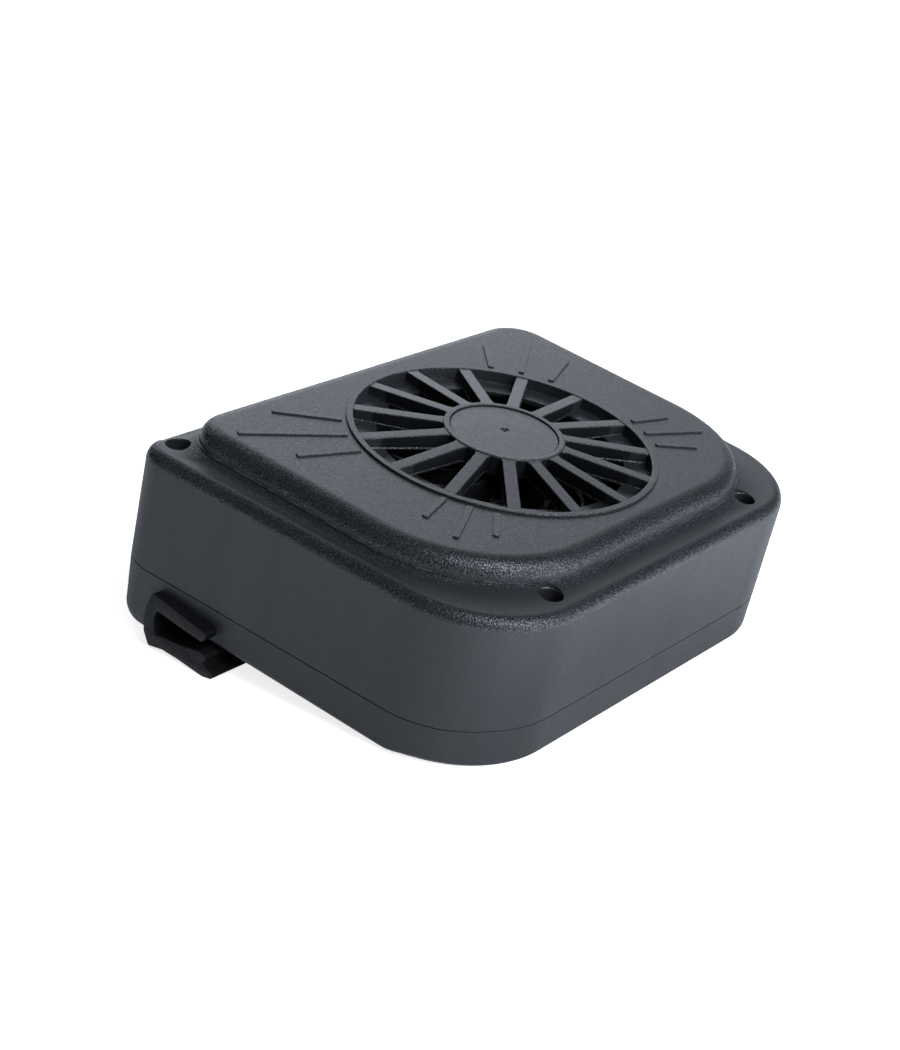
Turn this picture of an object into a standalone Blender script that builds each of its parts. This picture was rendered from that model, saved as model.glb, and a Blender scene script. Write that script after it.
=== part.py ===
"""Solar-powered vent fan that hangs on the top edge of a car side window.

Frame: metres. The origin is on the fan axis, in the plane of the solar face that
lies against the window glass. +Z points into the car (grille side), +Y points up
along the window towards the exhaust hood, and +X runs along the window's edge.
Sizes below are in millimetres and are scaled when a mesh or curve is made.

"Front" is the +Z side, "back" the -Z side. A build function takes the bmesh
`shape` and adds faces to it. Helper objects named "cut_..." drive the booleans,
both unions and differences; cutters overshoot the faces they open.
"""

import math

import bmesh
import bpy
from mathutils import Vector

MM = 0.001
GAP = 0.3                                         # clearance between parts


def mirrored_pairs(places):
    """Each (x, y) place as a -X and a +X copy."""
    return [(side * x, y) for x, y in places for side in (-1, 1)]


# ---- shared dimensions -----------------------------------------------------
# Outlines of case and plateau: (centre, radius) of the +X corner circles.
CASE_TOP, CASE_LOW = ((68.8, 46.6), 7.2), ((43.5, -29.5), 28.0)
PLATEAU_TOP, PLATEAU_LOW = ((55.0, 36.8), 7.0), ((29.0, -11.8), 32.0)
TOP_STEPS, LOW_STEPS = 5, 12                      # segments of each corner arc
WALL = 2.2
RIM_FLARE = 0.2                                   # growth of both covers at the parting line
PART_Z = 9.3                                      # back rim of the front cover
BACK_TOP = PART_Z - GAP                           # front rim of the back cover
FLOOR = 3.2                                       # inner face of the back cover floor

CASE_SCREWS = mirrored_pairs([(67.7, 48.5), (43.2, -49.5)])
HEAD_SEAT_Z = 16.4                                # seat of the case screw heads
HOUSING_SCREWS = mirrored_pairs([(48.5, 34.0), (48.5, -28.0)])
MOTOR_SCREWS = mirrored_pairs([(8.0, 0.0)])

PLATE_Z0 = 25.0                                   # base plate of the fan housing
PLATE_Z1 = PLATE_Z0 + 2.0
SHAFT_R = 1.0
SHAFT_BORE_R = SHAFT_R + GAP                      # bore of what sits round the shaft


# ---- objects and modifiers -------------------------------------------------
def clear_scene():
    for obj in list(bpy.data.objects):
        bpy.data.objects.remove(obj, do_unlink=True)


def link(name, data):
    obj = bpy.data.objects.new(name, data)
    bpy.context.scene.collection.objects.link(obj)
    return obj


def part(name, build, mat=None, parent=None, smooth=True):
    """Object whose mesh is made by the build function."""
    shape = bmesh.new()
    build(shape)
    bmesh.ops.remove_doubles(shape, verts=shape.verts, dist=1e-7)
    bmesh.ops.recalc_face_normals(shape, faces=shape.faces)
    mesh = bpy.data.meshes.new(name)
    shape.to_mesh(mesh)
    shape.free()
    if smooth:
        mesh.shade_smooth()
        mesh.set_sharp_from_angle(angle=math.radians(32))
    if mat:
        mesh.materials.append(mat)
    obj = link(name, mesh)
    obj.parent = parent
    return obj


def combine(target, operation, name, build):
    """Join ("UNION") or cut ("DIFFERENCE") a hidden helper with the target."""
    tool = part(name, build, smooth=False)
    tool.hide_render = True
    tool.display_type = "WIRE"
    mod = target.modifiers.new(operation.lower() + "_" + name, "BOOLEAN")
    mod.operation = operation
    mod.object = tool
    mod.solver = "EXACT"


# ---- outlines --------------------------------------------------------------
def polar(radius, angle, centre=(0.0, 0.0)):
    return (centre[0] + radius * math.cos(angle), centre[1] + radius * math.sin(angle))


def arc(radius, first, last, steps, centre=(0.0, 0.0)):
    return [polar(radius, first + (last - first) * i / steps, centre) for i in range(steps + 1)]


def with_mirror(right):
    """Close a +X half outline with its mirror image in X."""
    return right + [(-x, y) for x, y in reversed(right)]


def rounded(top, low, grow):
    """Outline round four corner circles joined by tangents; counter-clockwise."""
    (top_centre, top_r), (low_centre, low_r) = top, low
    dx, dy = top_centre[0] - low_centre[0], top_centre[1] - low_centre[1]
    tangent = math.atan2(dy, dx) - math.acos((low_r - top_r) / math.hypot(dx, dy))
    return with_mirror(
        arc(low_r + grow, -math.pi / 2, tangent, LOW_STEPS, low_centre)
        + arc(top_r + grow, tangent, math.pi / 2, TOP_STEPS, top_centre))


def case(grow):
    return rounded(CASE_TOP, CASE_LOW, grow)


def plateau(grow):
    return rounded(PLATEAU_TOP, PLATEAU_LOW, grow)


def half_width(y):
    """Half width of the case at a height y on its straight side."""
    (x0, y0), (x1, y1) = case(0.0)[LOW_STEPS:LOW_STEPS + 2]
    return x0 + (x1 - x0) * (y - y0) / (y1 - y0)


def wall_from(points, thickness):
    """Closed outline of a wall of even thickness round an open line."""
    left, right = [], []
    for i, (x, y) in enumerate(points):
        before = Vector(points[max(i - 1, 0)])
        after = Vector(points[min(i + 1, len(points) - 1)])
        along = (after - before).normalized()
        shift_x, shift_y = -along.y * thickness / 2, along.x * thickness / 2
        left.append((x + shift_x, y + shift_y))
        right.append((x - shift_x, y - shift_y))
    return left + right[::-1]


# ---- solids ----------------------------------------------------------------
def flat_ring(points, z):
    return [(x, y, z) for x, y in points]


def skin(shape, rows):
    """Quads between successive closed rows of vertices."""
    count = len(rows[0])
    for low, high in zip(rows, rows[1:]):
        for i in range(count):
            j = (i + 1) % count
            shape.faces.new((low[i], low[j], high[j], high[i]))


def loft(shape, rings, closed=False):
    """Skin rings of 3D points; cap the ends, or if closed join last to first."""
    rows = [[shape.verts.new(Vector(point) * MM) for point in ring] for ring in rings]
    if closed:
        skin(shape, rows + rows[:1])
        return
    skin(shape, rows)
    shape.faces.new(list(reversed(rows[0])))
    shape.faces.new(rows[-1])


def loft_stations(shape, stations):
    """Loft through (outline function, growth, z) stations."""
    loft(shape, [flat_ring(outline(grow), z) for outline, grow, z in stations])


def prism(shape, points, z0, z1):
    loft(shape, [flat_ring(points, z0), flat_ring(points, z1)])


def prism_x(shape, points, half_length):
    """Extrude a (y, z) polygon along X, both ways from the centre."""
    loft(shape, [[(x, y, z) for y, z in points] for x in (-half_length, half_length)])


def box(shape, x0, x1, y0, y1, z0, z1):
    prism(shape, [(x0, y0), (x1, y0), (x1, y1), (x0, y1)], z0, z1)


def turned(shape, profile, sides, centre=(0.0, 0.0)):
    """Revolve an (r, z) profile round a vertical axis. A profile whose ends are
    at r = 0 closes on the axis; otherwise it is a closed loop, as of a bush."""
    solid = profile[0][0] == 0.0
    body = profile[1:-1] if solid else profile
    rings = [
        flat_ring([polar(radius, 2 * math.pi * i / sides, centre) for i in range(sides)], z)
        for radius, z in body]
    loft(shape, rings, closed=not solid)


def cylinder(shape, radius, z0, z1, sides, centre=(0.0, 0.0)):
    turned(shape, [(0.0, z0), (radius, z0), (radius, z1), (0.0, z1)], sides, centre)


def cylinders(shape, places, radius, z0, z1, sides):
    for place in places:
        cylinder(shape, radius, z0, z1, sides, place)


def tube(shape, inner_r, outer_r, z0, z1, sides):
    turned(shape, [(inner_r, z0), (outer_r, z0), (outer_r, z1), (inner_r, z1)], sides)


# ---- materials -------------------------------------------------------------
def material(name, colour, roughness, metallic=0.0, alpha=1.0):
    mat = bpy.data.materials.new(name)
    mat.use_nodes = True
    shader = mat.node_tree.nodes["Principled BSDF"]
    shader.inputs["Base Color"].default_value = (*colour, 1.0)
    shader.inputs["Roughness"].default_value = roughness
    shader.inputs["Metallic"].default_value = metallic
    shader.inputs["Alpha"].default_value = alpha
    return mat


def plastic(name, colour, roughness):
    return material(name, colour, roughness)


def metal(name, colour, roughness):
    return material(name, colour, roughness, metallic=1.0)


def make_materials():
    return {
        "case": plastic("case_plastic", colour=(0.052, 0.056, 0.062), roughness=0.52),
        "channel": plastic("channel_rubber", colour=(0.016, 0.017, 0.018), roughness=0.72),
        "window": material(
            "window_clear", colour=(0.62, 0.68, 0.72), roughness=0.08, alpha=0.35),
        "cells": material("cell_silicon", colour=(0.012, 0.020, 0.055), roughness=0.22),
        "inner": plastic("inner_plastic", colour=(0.030, 0.031, 0.033), roughness=0.55),
        "impeller": plastic("impeller_plastic", colour=(0.024, 0.025, 0.027), roughness=0.42),
        "steel": metal("steel", colour=(0.56, 0.57, 0.58), roughness=0.30),
        "can": metal("can_zinc", colour=(0.60, 0.60, 0.58), roughness=0.36),
        "magnet": material("magnet_ferrite", colour=(0.05, 0.048, 0.046), roughness=0.70),
        "copper": metal("winding_copper", colour=(0.72, 0.33, 0.16), roughness=0.34),
        "brass": metal("brass", colour=(0.72, 0.52, 0.22), roughness=0.30),
        "bush": metal("bush_bronze", colour=(0.62, 0.42, 0.20), roughness=0.42),
        "endcap": plastic("end_cap_nylon", colour=(0.80, 0.79, 0.74), roughness=0.50),
        "red": plastic("wire_red", colour=(0.45, 0.020, 0.018), roughness=0.45),
        "black": plastic("wire_black", colour=(0.020, 0.020, 0.022), roughness=0.45),
    }


# ---- front cover -----------------------------------------------------------
SHELF_Z = 39.8                                    # shelf around the plateau
PLATEAU_Z = 46.4
RING_IN, RING_OUT, RING_TOP = 39.0, 40.8, 47.0    # raised ring round the grille
LEDGE_R, LEDGE_Z = 32.4, 43.9                     # ledge inside the ring
GRILLE_SIDES = 60
HUB_R, HUB_DISC_R, HUB_TOP = 16.0, 14.3, 48.4
HUB_DISC_Z = HUB_TOP - 0.55                       # sunk disc on the hub
SPOKES, SPOKE_W, SPOKE_FIRST = 15, 3.5, 270.0     # count, width, first angle in degrees
SPOKE_BOTTOM = 43.55
SPOKE_ENDS = [(14.6, 48.15), (RING_IN + 0.6, 46.75)]    # (radius, top z)
RIB_HALF_W = 0.8
HEAD_HOLE_R = 2.95

# Section of the shell, from inside to outside: (outline, growth, z).
FRONT_SHELL = [
    (plateau, -2.0, 44.1), (plateau, 1.6, 43.4), (plateau, 2.6, 41.0), (plateau, 3.2, 37.7),
    (case, -4.4, 37.5), (case, -2.5, 36.0),
    (case, RIM_FLARE - WALL, PART_Z), (case, RIM_FLARE, PART_Z),
    (case, 0.0, 36.4), (case, -0.35, 38.0), (case, -1.3, 39.2), (case, -3.1, SHELF_Z),
    # Shoulder of the plateau: a small cove, a steep foot and a round edge.
    (plateau, 6.4, 40.05), (plateau, 5.4, 40.5), (plateau, 5.0, 41.2), (plateau, 4.75, 42.6),
    (plateau, 4.2, 44.0), (plateau, 3.1, 45.3), (plateau, 1.7, 46.1), (plateau, 0.0, PLATEAU_Z),
]

# Three raised rays at each corner of the plateau, the middle one longest:
# (outer x, outer y, inner x, inner y).
RIBS = [
    (42.1, 39.2, 31.6, 28.9), (57.0, 34.6, 36.8, 22.2), (56.0, 20.4, 40.5, 14.7),
    (-43.7, 40.8, -31.0, 28.4), (-60.0, 36.7, -36.0, 22.0), (-55.7, 20.8, -39.6, 14.5),
    (52.3, -16.6, 40.9, -12.9), (54.2, -26.9, 38.0, -19.1), (44.3, -31.8, 35.0, -24.7),
    (-51.2, -16.3, -39.8, -12.9), (-52.5, -26.8, -37.5, -19.2), (-43.4, -31.7, -34.4, -25.0),
]


def grille_blank(shape):
    """Disc with the raised ring, before the intake is opened."""
    turned(shape, [
        (0.0, 42.0), (41.0, 42.0), (41.0, 45.4), (RING_OUT, 45.4), (RING_OUT, RING_TOP - 0.25),
        (RING_OUT - 0.3, RING_TOP), (0.0, RING_TOP)], GRILLE_SIDES)


def front_bosses(shape):
    cylinders(shape, CASE_SCREWS, radius=4.3, z0=14.0, z1=38.6, sides=16)
    cylinders(shape, HOUSING_SCREWS, radius=3.2, z0=PLATE_Z1 + GAP, z1=45.0, sides=12)


def intake(shape):
    """Round opening, stepped out at the ledge."""
    turned(shape, [
        (0.0, 36.0), (LEDGE_R, 36.0), (LEDGE_R, LEDGE_Z), (RING_IN, LEDGE_Z),
        (RING_IN, 55.0), (0.0, 55.0)], GRILLE_SIDES)


def spokes(shape):
    half = SPOKE_W / 2
    for k in range(SPOKES):
        out_x, out_y = polar(1.0, math.radians(SPOKE_FIRST + k * 360.0 / SPOKES))
        ends = []
        for radius, top in SPOKE_ENDS:
            section = [(-half, SPOKE_BOTTOM), (half, SPOKE_BOTTOM), (half, top), (-half, top)]
            ends.append([
                (out_x * radius - out_y * side, out_y * radius + out_x * side, z)
                for side, z in section])
        loft(shape, ends)


def hub(shape):
    turned(shape, [
        (0.0, 44.6), (13.0, 44.6), (13.0, 43.2), (HUB_R, 43.2), (HUB_R, HUB_TOP - 0.3),
        (HUB_R - 0.35, HUB_TOP), (HUB_DISC_R, HUB_TOP), (HUB_DISC_R, HUB_DISC_Z),
        (0.0, HUB_DISC_Z)], sides=48)


def front_screw_holes(shape):
    """Stepped holes for the case screws, pilots for the housing screws."""
    for place in CASE_SCREWS:
        turned(shape, [
            (0.0, 12.0), (1.7, 12.0), (1.7, HEAD_SEAT_Z), (HEAD_HOLE_R, HEAD_SEAT_Z),
            (HEAD_HOLE_R, 60.0), (0.0, 60.0)], 16, place)
    cylinders(shape, HOUSING_SCREWS, radius=1.2, z0=20.0, z1=35.0, sides=8)


def ribs(shape):
    for x0, y0, x1, y1 in RIBS:
        scale = RIB_HALF_W / math.hypot(x1 - x0, y1 - y0)
        side_x, side_y = -(y1 - y0) * scale, (x1 - x0) * scale
        outline = [
            (x0 - side_x, y0 - side_y), (x1 - side_x, y1 - side_y),
            (x1 + side_x, y1 + side_y), (x0 + side_x, y0 + side_y)]
        prism(shape, outline, PLATEAU_Z - 0.8, PLATEAU_Z + 0.4)


def front_cover(mats):
    cover = part("front_cover", lambda shape: loft_stations(shape, FRONT_SHELL), mats["case"])
    combine(cover, "UNION", "cut_grille_blank", grille_blank)
    combine(cover, "UNION", "cut_bosses", front_bosses)
    combine(cover, "DIFFERENCE", "cut_intake", intake)
    combine(cover, "UNION", "cut_spokes", spokes)
    combine(cover, "UNION", "cut_hub", hub)
    combine(cover, "DIFFERENCE", "cut_screw_holes", front_screw_holes)
    combine(cover, "UNION", "cut_ribs", ribs)


# ---- back cover with the exhaust hood --------------------------------------
HOOD_INNER_Y = 42.0
HOOD_FOOT_Y = 41.0                                # lower edge before the notch is cut
HOOD_SIDE_Y = 45.0                                # the hood follows the case above this
HOOD_DEPTH = 10.0
LOUVRES, LOUVRE_PITCH, LOUVRE_HALF_W = 10, 12.0, 4.6
PANEL = (-58.5, 58.5, -47.5, 14.5)                # x0, x1, y0, y1: rebate for the clear window
LIGHT_OPENING = (-55.5, 55.5, -44.3, 11.5)        # x0, x1, y0, y1: hole behind that window

# Section of the shell, from inside to outside: (outline, growth, z).
BACK_SHELL = [
    (case, -4.1, FLOOR), (case, -4.1, 11.4), (case, -2.6, 11.4), (case, -2.6, BACK_TOP),
    (case, RIM_FLARE, BACK_TOP), (case, 0.0, 3.2), (case, -0.55, 1.5), (case, -1.7, 0.4),
    (case, -3.2, 0.0),
]
# Hood, from root to end: (growth of the case outline, z).
HOOD_STATIONS = [
    (-1.0, 7.0), (-0.12, 4.0), (-0.15, -1.0), (-0.55, -3.5), (-1.8, -6.2), (-3.4, -8.1),
    (-5.2, -9.4), (-6.4, -HOOD_DEPTH),
]
# Notch for the window channel, and air duct into the hood: (y, z) sections.
NOTCH = [
    (19.0, -16.0), (19.0, 4.4), (40.8, 6.5), (HOOD_INNER_Y, 6.5), (HOOD_INNER_Y, -16.0)]
DUCT = [(44.0, -8.0), (46.8, -8.0), (50.4, -4.6), (51.2, -1.0), (51.2, 20.0), (44.0, 20.0)]


def roof(shape):
    """Slab across the upper part of the case; its sides lie 1.6 inside the outline."""
    inset = 1.6
    right = [(half_width(16.0) - inset, 16.0), (half_width(46.0) - inset, 47.0)]
    prism(shape, with_mirror(right), 1.2, 8.7)


def hood(shape):
    rings = []
    for grow, z in HOOD_STATIONS:
        side = [(x, y) for x, y in case(grow) if y > HOOD_SIDE_Y and x > 0]
        rings.append(flat_ring(with_mirror([(side[0][0], HOOD_FOOT_Y)] + side), z))
    loft(shape, rings)


def posts(shape):
    """Case screw posts, each with a narrower spigot on its front end."""
    profile = [(0.0, 2.0), (4.2, 2.0), (4.2, 8.8), (3.0, 8.8), (3.0, 13.7), (0.0, 13.7)]
    for place in CASE_SCREWS:
        turned(shape, profile, 16, place)


def louvres(shape):
    for k in range(LOUVRES):
        x = LOUVRE_PITCH * (k - (LOUVRES - 1) / 2)
        box(shape, x - LOUVRE_HALF_W, x + LOUVRE_HALF_W, 44.5, 46.9, -12.0, -7.4)


def pilots(shape):
    cylinders(shape, CASE_SCREWS, radius=1.25, z0=4.4, z1=20.0, sides=8)


def back_cover(mats):
    cover = part("back_cover", lambda shape: loft_stations(shape, BACK_SHELL), mats["case"])
    combine(cover, "UNION", "cut_roof", roof)
    combine(cover, "UNION", "cut_hood", hood)
    combine(cover, "UNION", "cut_posts", posts)
    combine(cover, "DIFFERENCE", "cut_notch", lambda shape: prism_x(shape, NOTCH, 95.0))
    combine(cover, "DIFFERENCE", "cut_duct", lambda shape: prism_x(shape, DUCT, 60.0))
    combine(cover, "DIFFERENCE", "cut_louvres", louvres)
    combine(cover, "DIFFERENCE", "cut_rebate", lambda shape: box(shape, *PANEL, -3.0, 1.9))
    combine(cover, "DIFFERENCE", "cut_light_window",
            lambda shape: box(shape, *LIGHT_OPENING, -3.0, 8.0))
    combine(cover, "DIFFERENCE", "cut_pilots", pilots)


# ---- window channel --------------------------------------------------------
CHANNEL_HALF = 80.5
CHANNEL = [                                       # section: (y, z)
    (19.4, 3.95), (38.4, 6.0), (40.9, 3.2), (41.2, -4.2), (38.0, -8.0), (19.5, -7.6),
    (16.6, -7.0), (15.0, -5.6), (15.0, -4.3), (15.9, -3.7), (17.0, -3.7), (18.0, -4.2),
    (35.6, -4.2), (36.6, -3.4), (36.6, 1.7), (35.8, 2.4), (20.2, 0.9), (19.4, 1.6),
]


def window_channel(mats):
    """Extruded channel that grips the top edge of the window glass."""
    part("window_channel", lambda shape: prism_x(shape, CHANNEL, CHANNEL_HALF),
         mats["channel"], smooth=False)


# ---- solar panel -----------------------------------------------------------
CELLS = (-57.0, 57.0, -44.9, 13.0)                # x0, x1, y0, y1
CELLS_Z = FLOOR + GAP
CELLS_THICK, WINDOW_THICK = 1.4, 1.6


def solar_window(mats):
    x0, x1, y0, y1 = PANEL
    part("solar_window",
         lambda shape: box(shape, x0 + GAP, x1 - GAP, y0 + GAP, y1 - GAP, 0.0, WINDOW_THICK),
         mats["window"], smooth=False)


def solar_cells(mats):
    part("solar_cells", lambda shape: box(shape, *CELLS, CELLS_Z, CELLS_Z + CELLS_THICK),
         mats["cells"], smooth=False)


# ---- fan housing -----------------------------------------------------------
PLATE_CORNER_R = 6.0
# Corner arcs of the base plate: (centre, start angle in degrees).
PLATE_CORNERS = [
    ((46.5, 38.0), 0), ((-46.5, 38.0), 90), ((-46.5, -30.0), 180), ((46.5, -30.0), 270)]
SCROLL_R, SCROLL_GROWTH = 33.0, 9.2               # start radius, growth to the end
SCROLL_FIRST, SCROLL_LAST, SCROLL_STEPS = math.radians(74.0), math.radians(360.0), 30
SCROLL_MOUTH_Y = 43.6
SCROLL_WALL = 1.5


def base_plate(shape):
    outline = []
    for centre, start in PLATE_CORNERS:
        outline += arc(PLATE_CORNER_R, math.radians(start), math.radians(start + 90), 4, centre)
    prism(shape, outline, PLATE_Z0, PLATE_Z1)


def scroll(shape):
    """Spiral wall that starts at the tongue and opens to +Y."""
    line = [(9.2, SCROLL_MOUTH_Y)]
    for i in range(SCROLL_STEPS + 1):
        t = i / SCROLL_STEPS
        angle = SCROLL_FIRST + (SCROLL_LAST - SCROLL_FIRST) * t
        line.append(polar(SCROLL_R + SCROLL_GROWTH * t, angle))
    line.append((SCROLL_R + SCROLL_GROWTH, SCROLL_MOUTH_Y))
    prism(shape, wall_from(line, SCROLL_WALL), PLATE_Z0 + 0.8, 41.6)


def housing_holes(shape):
    """Centre hole for the motor's neck, and the screw holes."""
    cylinder(shape, radius=3.4, z0=20.0, z1=30.0, sides=20)
    cylinders(shape, MOTOR_SCREWS, radius=1.3, z0=20.0, z1=30.0, sides=8)
    cylinders(shape, HOUSING_SCREWS, radius=1.4, z0=20.0, z1=30.0, sides=8)


def fan_housing(mats):
    housing = part("fan_housing", base_plate, mats["inner"])
    combine(housing, "UNION", "cut_scroll", scroll)
    combine(housing, "DIFFERENCE", "cut_housing_holes", housing_holes)


# ---- impeller --------------------------------------------------------------
IMPELLER_R = 29.5
BLADES, BLADE_STEPS, BLADE_THICK = 12, 5, 1.3
BLADE_ROOT_R, BLADE_TIP_R = 3.6, IMPELLER_R - 0.5
BLADE_SWEEP = math.radians(34.0)                  # the tip trails by this angle
BLADE_BOTTOM, BLADE_ROOT_TOP, BLADE_TOP = 29.7, 37.4, 40.6
BLADE_STEP_R = 7.0                                # the top is lower inside this radius


def wheel_body(shape):
    turned(shape, [
        (SHAFT_BORE_R, 28.7), (5.0, 28.7), (5.0, 29.2), (IMPELLER_R, 29.2), (IMPELLER_R, 30.4),
        (8.0, 30.6), (6.2, 32.0), (5.2, 38.0), (4.4, 38.6), (SHAFT_BORE_R, 38.6)], sides=48)


def blades(shape):
    for k in range(BLADES):
        line = []
        for i in range(BLADE_STEPS + 1):
            t = i / BLADE_STEPS
            radius = BLADE_ROOT_R + (BLADE_TIP_R - BLADE_ROOT_R) * t
            line.append(polar(radius, 2 * math.pi * k / BLADES - BLADE_SWEEP * t * t))
        outline = wall_from(line, BLADE_THICK)
        top = [
            (x, y, BLADE_ROOT_TOP if math.hypot(x, y) < BLADE_STEP_R else BLADE_TOP)
            for x, y in outline]
        loft(shape, [flat_ring(outline, BLADE_BOTTOM), top])


def impeller(mats, spin):
    wheel = part("impeller", wheel_body, mats["impeller"], parent=spin)
    combine(wheel, "UNION", "cut_blades", blades)


# ---- motor -----------------------------------------------------------------
MOTOR_R = 12.2
MOTOR_Z0, MOTOR_Z1 = 12.6, PLATE_Z0 - GAP
CAN_INNER_R = MOTOR_R - 0.8
INSERT_R = MOTOR_R - 1.1                          # outside of the end cap and magnets
MAGNET_INNER_R, MAGNET_HALF_ANGLE = 9.3, 65.0
END_CAP_Z0, END_CAP_Z1 = MOTOR_Z0 + 0.2, MOTOR_Z0 + 1.8
TERMINAL_X = 5.0
SHAFT_Z0, SHAFT_Z1 = MOTOR_Z0 - 0.1, 38.4
# One of the three armature lobes: (degrees, radius).
ARMATURE_LOBE = [
    (-46, 8.4), (-30, 8.7), (0, 8.8), (30, 8.7), (46, 8.4), (52, 6.6), (60, 6.2)]


def motor_can(mats):
    top = MOTOR_Z1
    can = part("motor_can", lambda shape: turned(shape, [
        (2.5, top + 1.7), (2.5, top - 0.9), (CAN_INNER_R, top - 0.9), (CAN_INNER_R, MOTOR_Z0),
        (MOTOR_R, MOTOR_Z0), (MOTOR_R, top - 0.6), (MOTOR_R - 0.6, top), (3.0, top),
        (3.0, top + 1.7)], sides=32), mats["can"])
    combine(can, "DIFFERENCE", "cut_taps",
            lambda shape: cylinders(shape, MOTOR_SCREWS, 1.25, top - 3.0, top + 3.0, sides=8))


def end_cap(mats):
    part("motor_end_cap",
         lambda shape: tube(shape, 2.5, INSERT_R, END_CAP_Z0, END_CAP_Z1, sides=32),
         mats["endcap"])


def bush(name, z0, z1, mats):
    part(name, lambda shape: tube(shape, SHAFT_R + 0.05, 2.2, z0, z1, sides=24), mats["bush"])


def magnet(name, middle, mats):
    """Arc magnet round a middle angle in degrees."""
    first = math.radians(middle - MAGNET_HALF_ANGLE)
    last = math.radians(middle + MAGNET_HALF_ANGLE)
    outline = arc(INSERT_R, first, last, 10) + arc(MAGNET_INNER_R, last, first, 10)
    part(name, lambda shape: prism(shape, outline, 15.2, 22.4), mats["magnet"])


def terminal(name, x, mats):
    part(name, lambda shape: box(shape, x - 1.0, x + 1.0, -0.25, 0.25, 9.4, MOTOR_Z0 - 0.1),
         mats["brass"], smooth=False)


def motor_shaft(mats, spin):
    tip_r = SHAFT_R - 0.2
    part("motor_shaft", lambda shape: turned(shape, [
        (0.0, SHAFT_Z0), (tip_r, SHAFT_Z0), (SHAFT_R, SHAFT_Z0 + 0.2),
        (SHAFT_R, SHAFT_Z1 - 0.2), (tip_r, SHAFT_Z1), (0.0, SHAFT_Z1)], sides=24),
        mats["steel"], parent=spin)


def armature(mats, spin):
    """Three wound poles, as one lobed block round the shaft."""
    outline = [
        polar(radius, 2 * math.pi * k / 3 + math.radians(degrees))
        for k in range(3) for degrees, radius in ARMATURE_LOBE]
    core = part("armature", lambda shape: prism(shape, outline, 16.2, 21.4),
                mats["copper"], parent=spin)
    combine(core, "DIFFERENCE", "cut_armature_bore",
            lambda shape: cylinder(shape, SHAFT_BORE_R, 10.0, 30.0, sides=16))


def commutator(mats, spin):
    part("commutator", lambda shape: tube(shape, SHAFT_BORE_R, 2.6, 14.7, 15.9, sides=18),
         mats["brass"], parent=spin)


def motor(mats, spin):
    motor_can(mats)
    end_cap(mats)
    bush("bush_upper", MOTOR_Z1 - 1.0, MOTOR_Z1 + 1.5, mats)
    bush("bush_lower", END_CAP_Z0, END_CAP_Z1, mats)
    magnet("magnet_north", 90.0, mats)
    magnet("magnet_south", 270.0, mats)
    terminal("terminal_positive", -TERMINAL_X, mats)
    terminal("terminal_negative", TERMINAL_X, mats)
    motor_shaft(mats, spin)
    armature(mats, spin)
    commutator(mats, spin)


# ---- fasteners -------------------------------------------------------------
def screw(name, place, mat, head_z, head_h, head_r, shank_r, tip_z):
    """Pan-head screw with a cross recess; head_z is the underside of the head."""
    out = 1.0 if head_z > tip_z else -1.0         # from tip to head, along Z
    head_end = head_z + out * head_h
    profile = [
        (0.0, tip_z), (shank_r * 0.35, tip_z), (shank_r, tip_z + out * 1.2),
        (shank_r, head_z), (head_r, head_z), (head_r, head_z + out * head_h * 0.45),
        (head_r * 0.72, head_end), (0.0, head_end)]
    if out < 0:
        profile.reverse()                         # profiles run towards +Z
    obj = part(name, lambda shape: turned(shape, profile, 16, place), mat)

    half, arm = head_r * 0.13, head_r * 0.52
    cross = [
        (-half, -arm), (half, -arm), (half, -half), (arm, -half), (arm, half), (half, half),
        (half, arm), (-half, arm), (-half, half), (-arm, half), (-arm, -half), (-half, -half)]
    outline = [(place[0] + x, place[1] + y) for x, y in cross]
    z0, z1 = sorted((head_z + out * head_h * 0.35, head_end + out * 1.0))
    combine(obj, "DIFFERENCE", "cut_cross_" + name, lambda shape: prism(shape, outline, z0, z1))


def screws(name, places, mat, **sizes):
    for number, place in enumerate(places, 1):
        screw(f"{name}_{number}", place, mat, **sizes)


def fasteners(mats):
    steel = mats["steel"]
    screws("case_screw", CASE_SCREWS, steel, head_z=HEAD_SEAT_Z + GAP, head_h=2.0,
           head_r=2.6, shank_r=0.95, tip_z=5.2)
    screws("housing_screw", HOUSING_SCREWS, steel, head_z=PLATE_Z0 - GAP, head_h=1.3,
           head_r=2.2, shank_r=0.9, tip_z=33.5)
    screws("motor_screw", MOTOR_SCREWS, steel, head_z=PLATE_Z1 + GAP, head_h=1.2,
           head_r=1.9, shank_r=0.9, tip_z=22.9)


# ---- wires -----------------------------------------------------------------
WIRE_R = 0.6
# Path of the +X wire, from the cells to its terminal: (x, y, z).
WIRE_PATH = [
    (30, -20, 5.8), (30, -14, 8.5), (18, -4, 9.5), (9, 1.4, 8.6), (TERMINAL_X, 1.2, 8.6)]


def wire(name, side, mat):
    """Wire on the +X (side 1) or -X (side -1) half."""
    curve = bpy.data.curves.new(name, "CURVE")
    curve.dimensions = "3D"
    curve.resolution_u = 5
    curve.bevel_depth = WIRE_R * MM
    curve.bevel_resolution = 1
    curve.use_fill_caps = True
    spline = curve.splines.new("BEZIER")
    spline.bezier_points.add(len(WIRE_PATH) - 1)
    for knot, (x, y, z) in zip(spline.bezier_points, WIRE_PATH):
        knot.co = Vector((side * x, y, z)) * MM
        knot.handle_left_type = knot.handle_right_type = "AUTO"
    curve.materials.append(mat)
    link(name, curve)


def main():
    clear_scene()
    mats = make_materials()
    spin = link("fan_axis", None)                 # parent of all that turns
    front_cover(mats)
    back_cover(mats)
    window_channel(mats)
    solar_window(mats)
    solar_cells(mats)
    fan_housing(mats)
    impeller(mats, spin)
    motor(mats, spin)
    fasteners(mats)
    wire("wire_red", -1, mats["red"])
    wire("wire_black", 1, mats["black"])


main()
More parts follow.
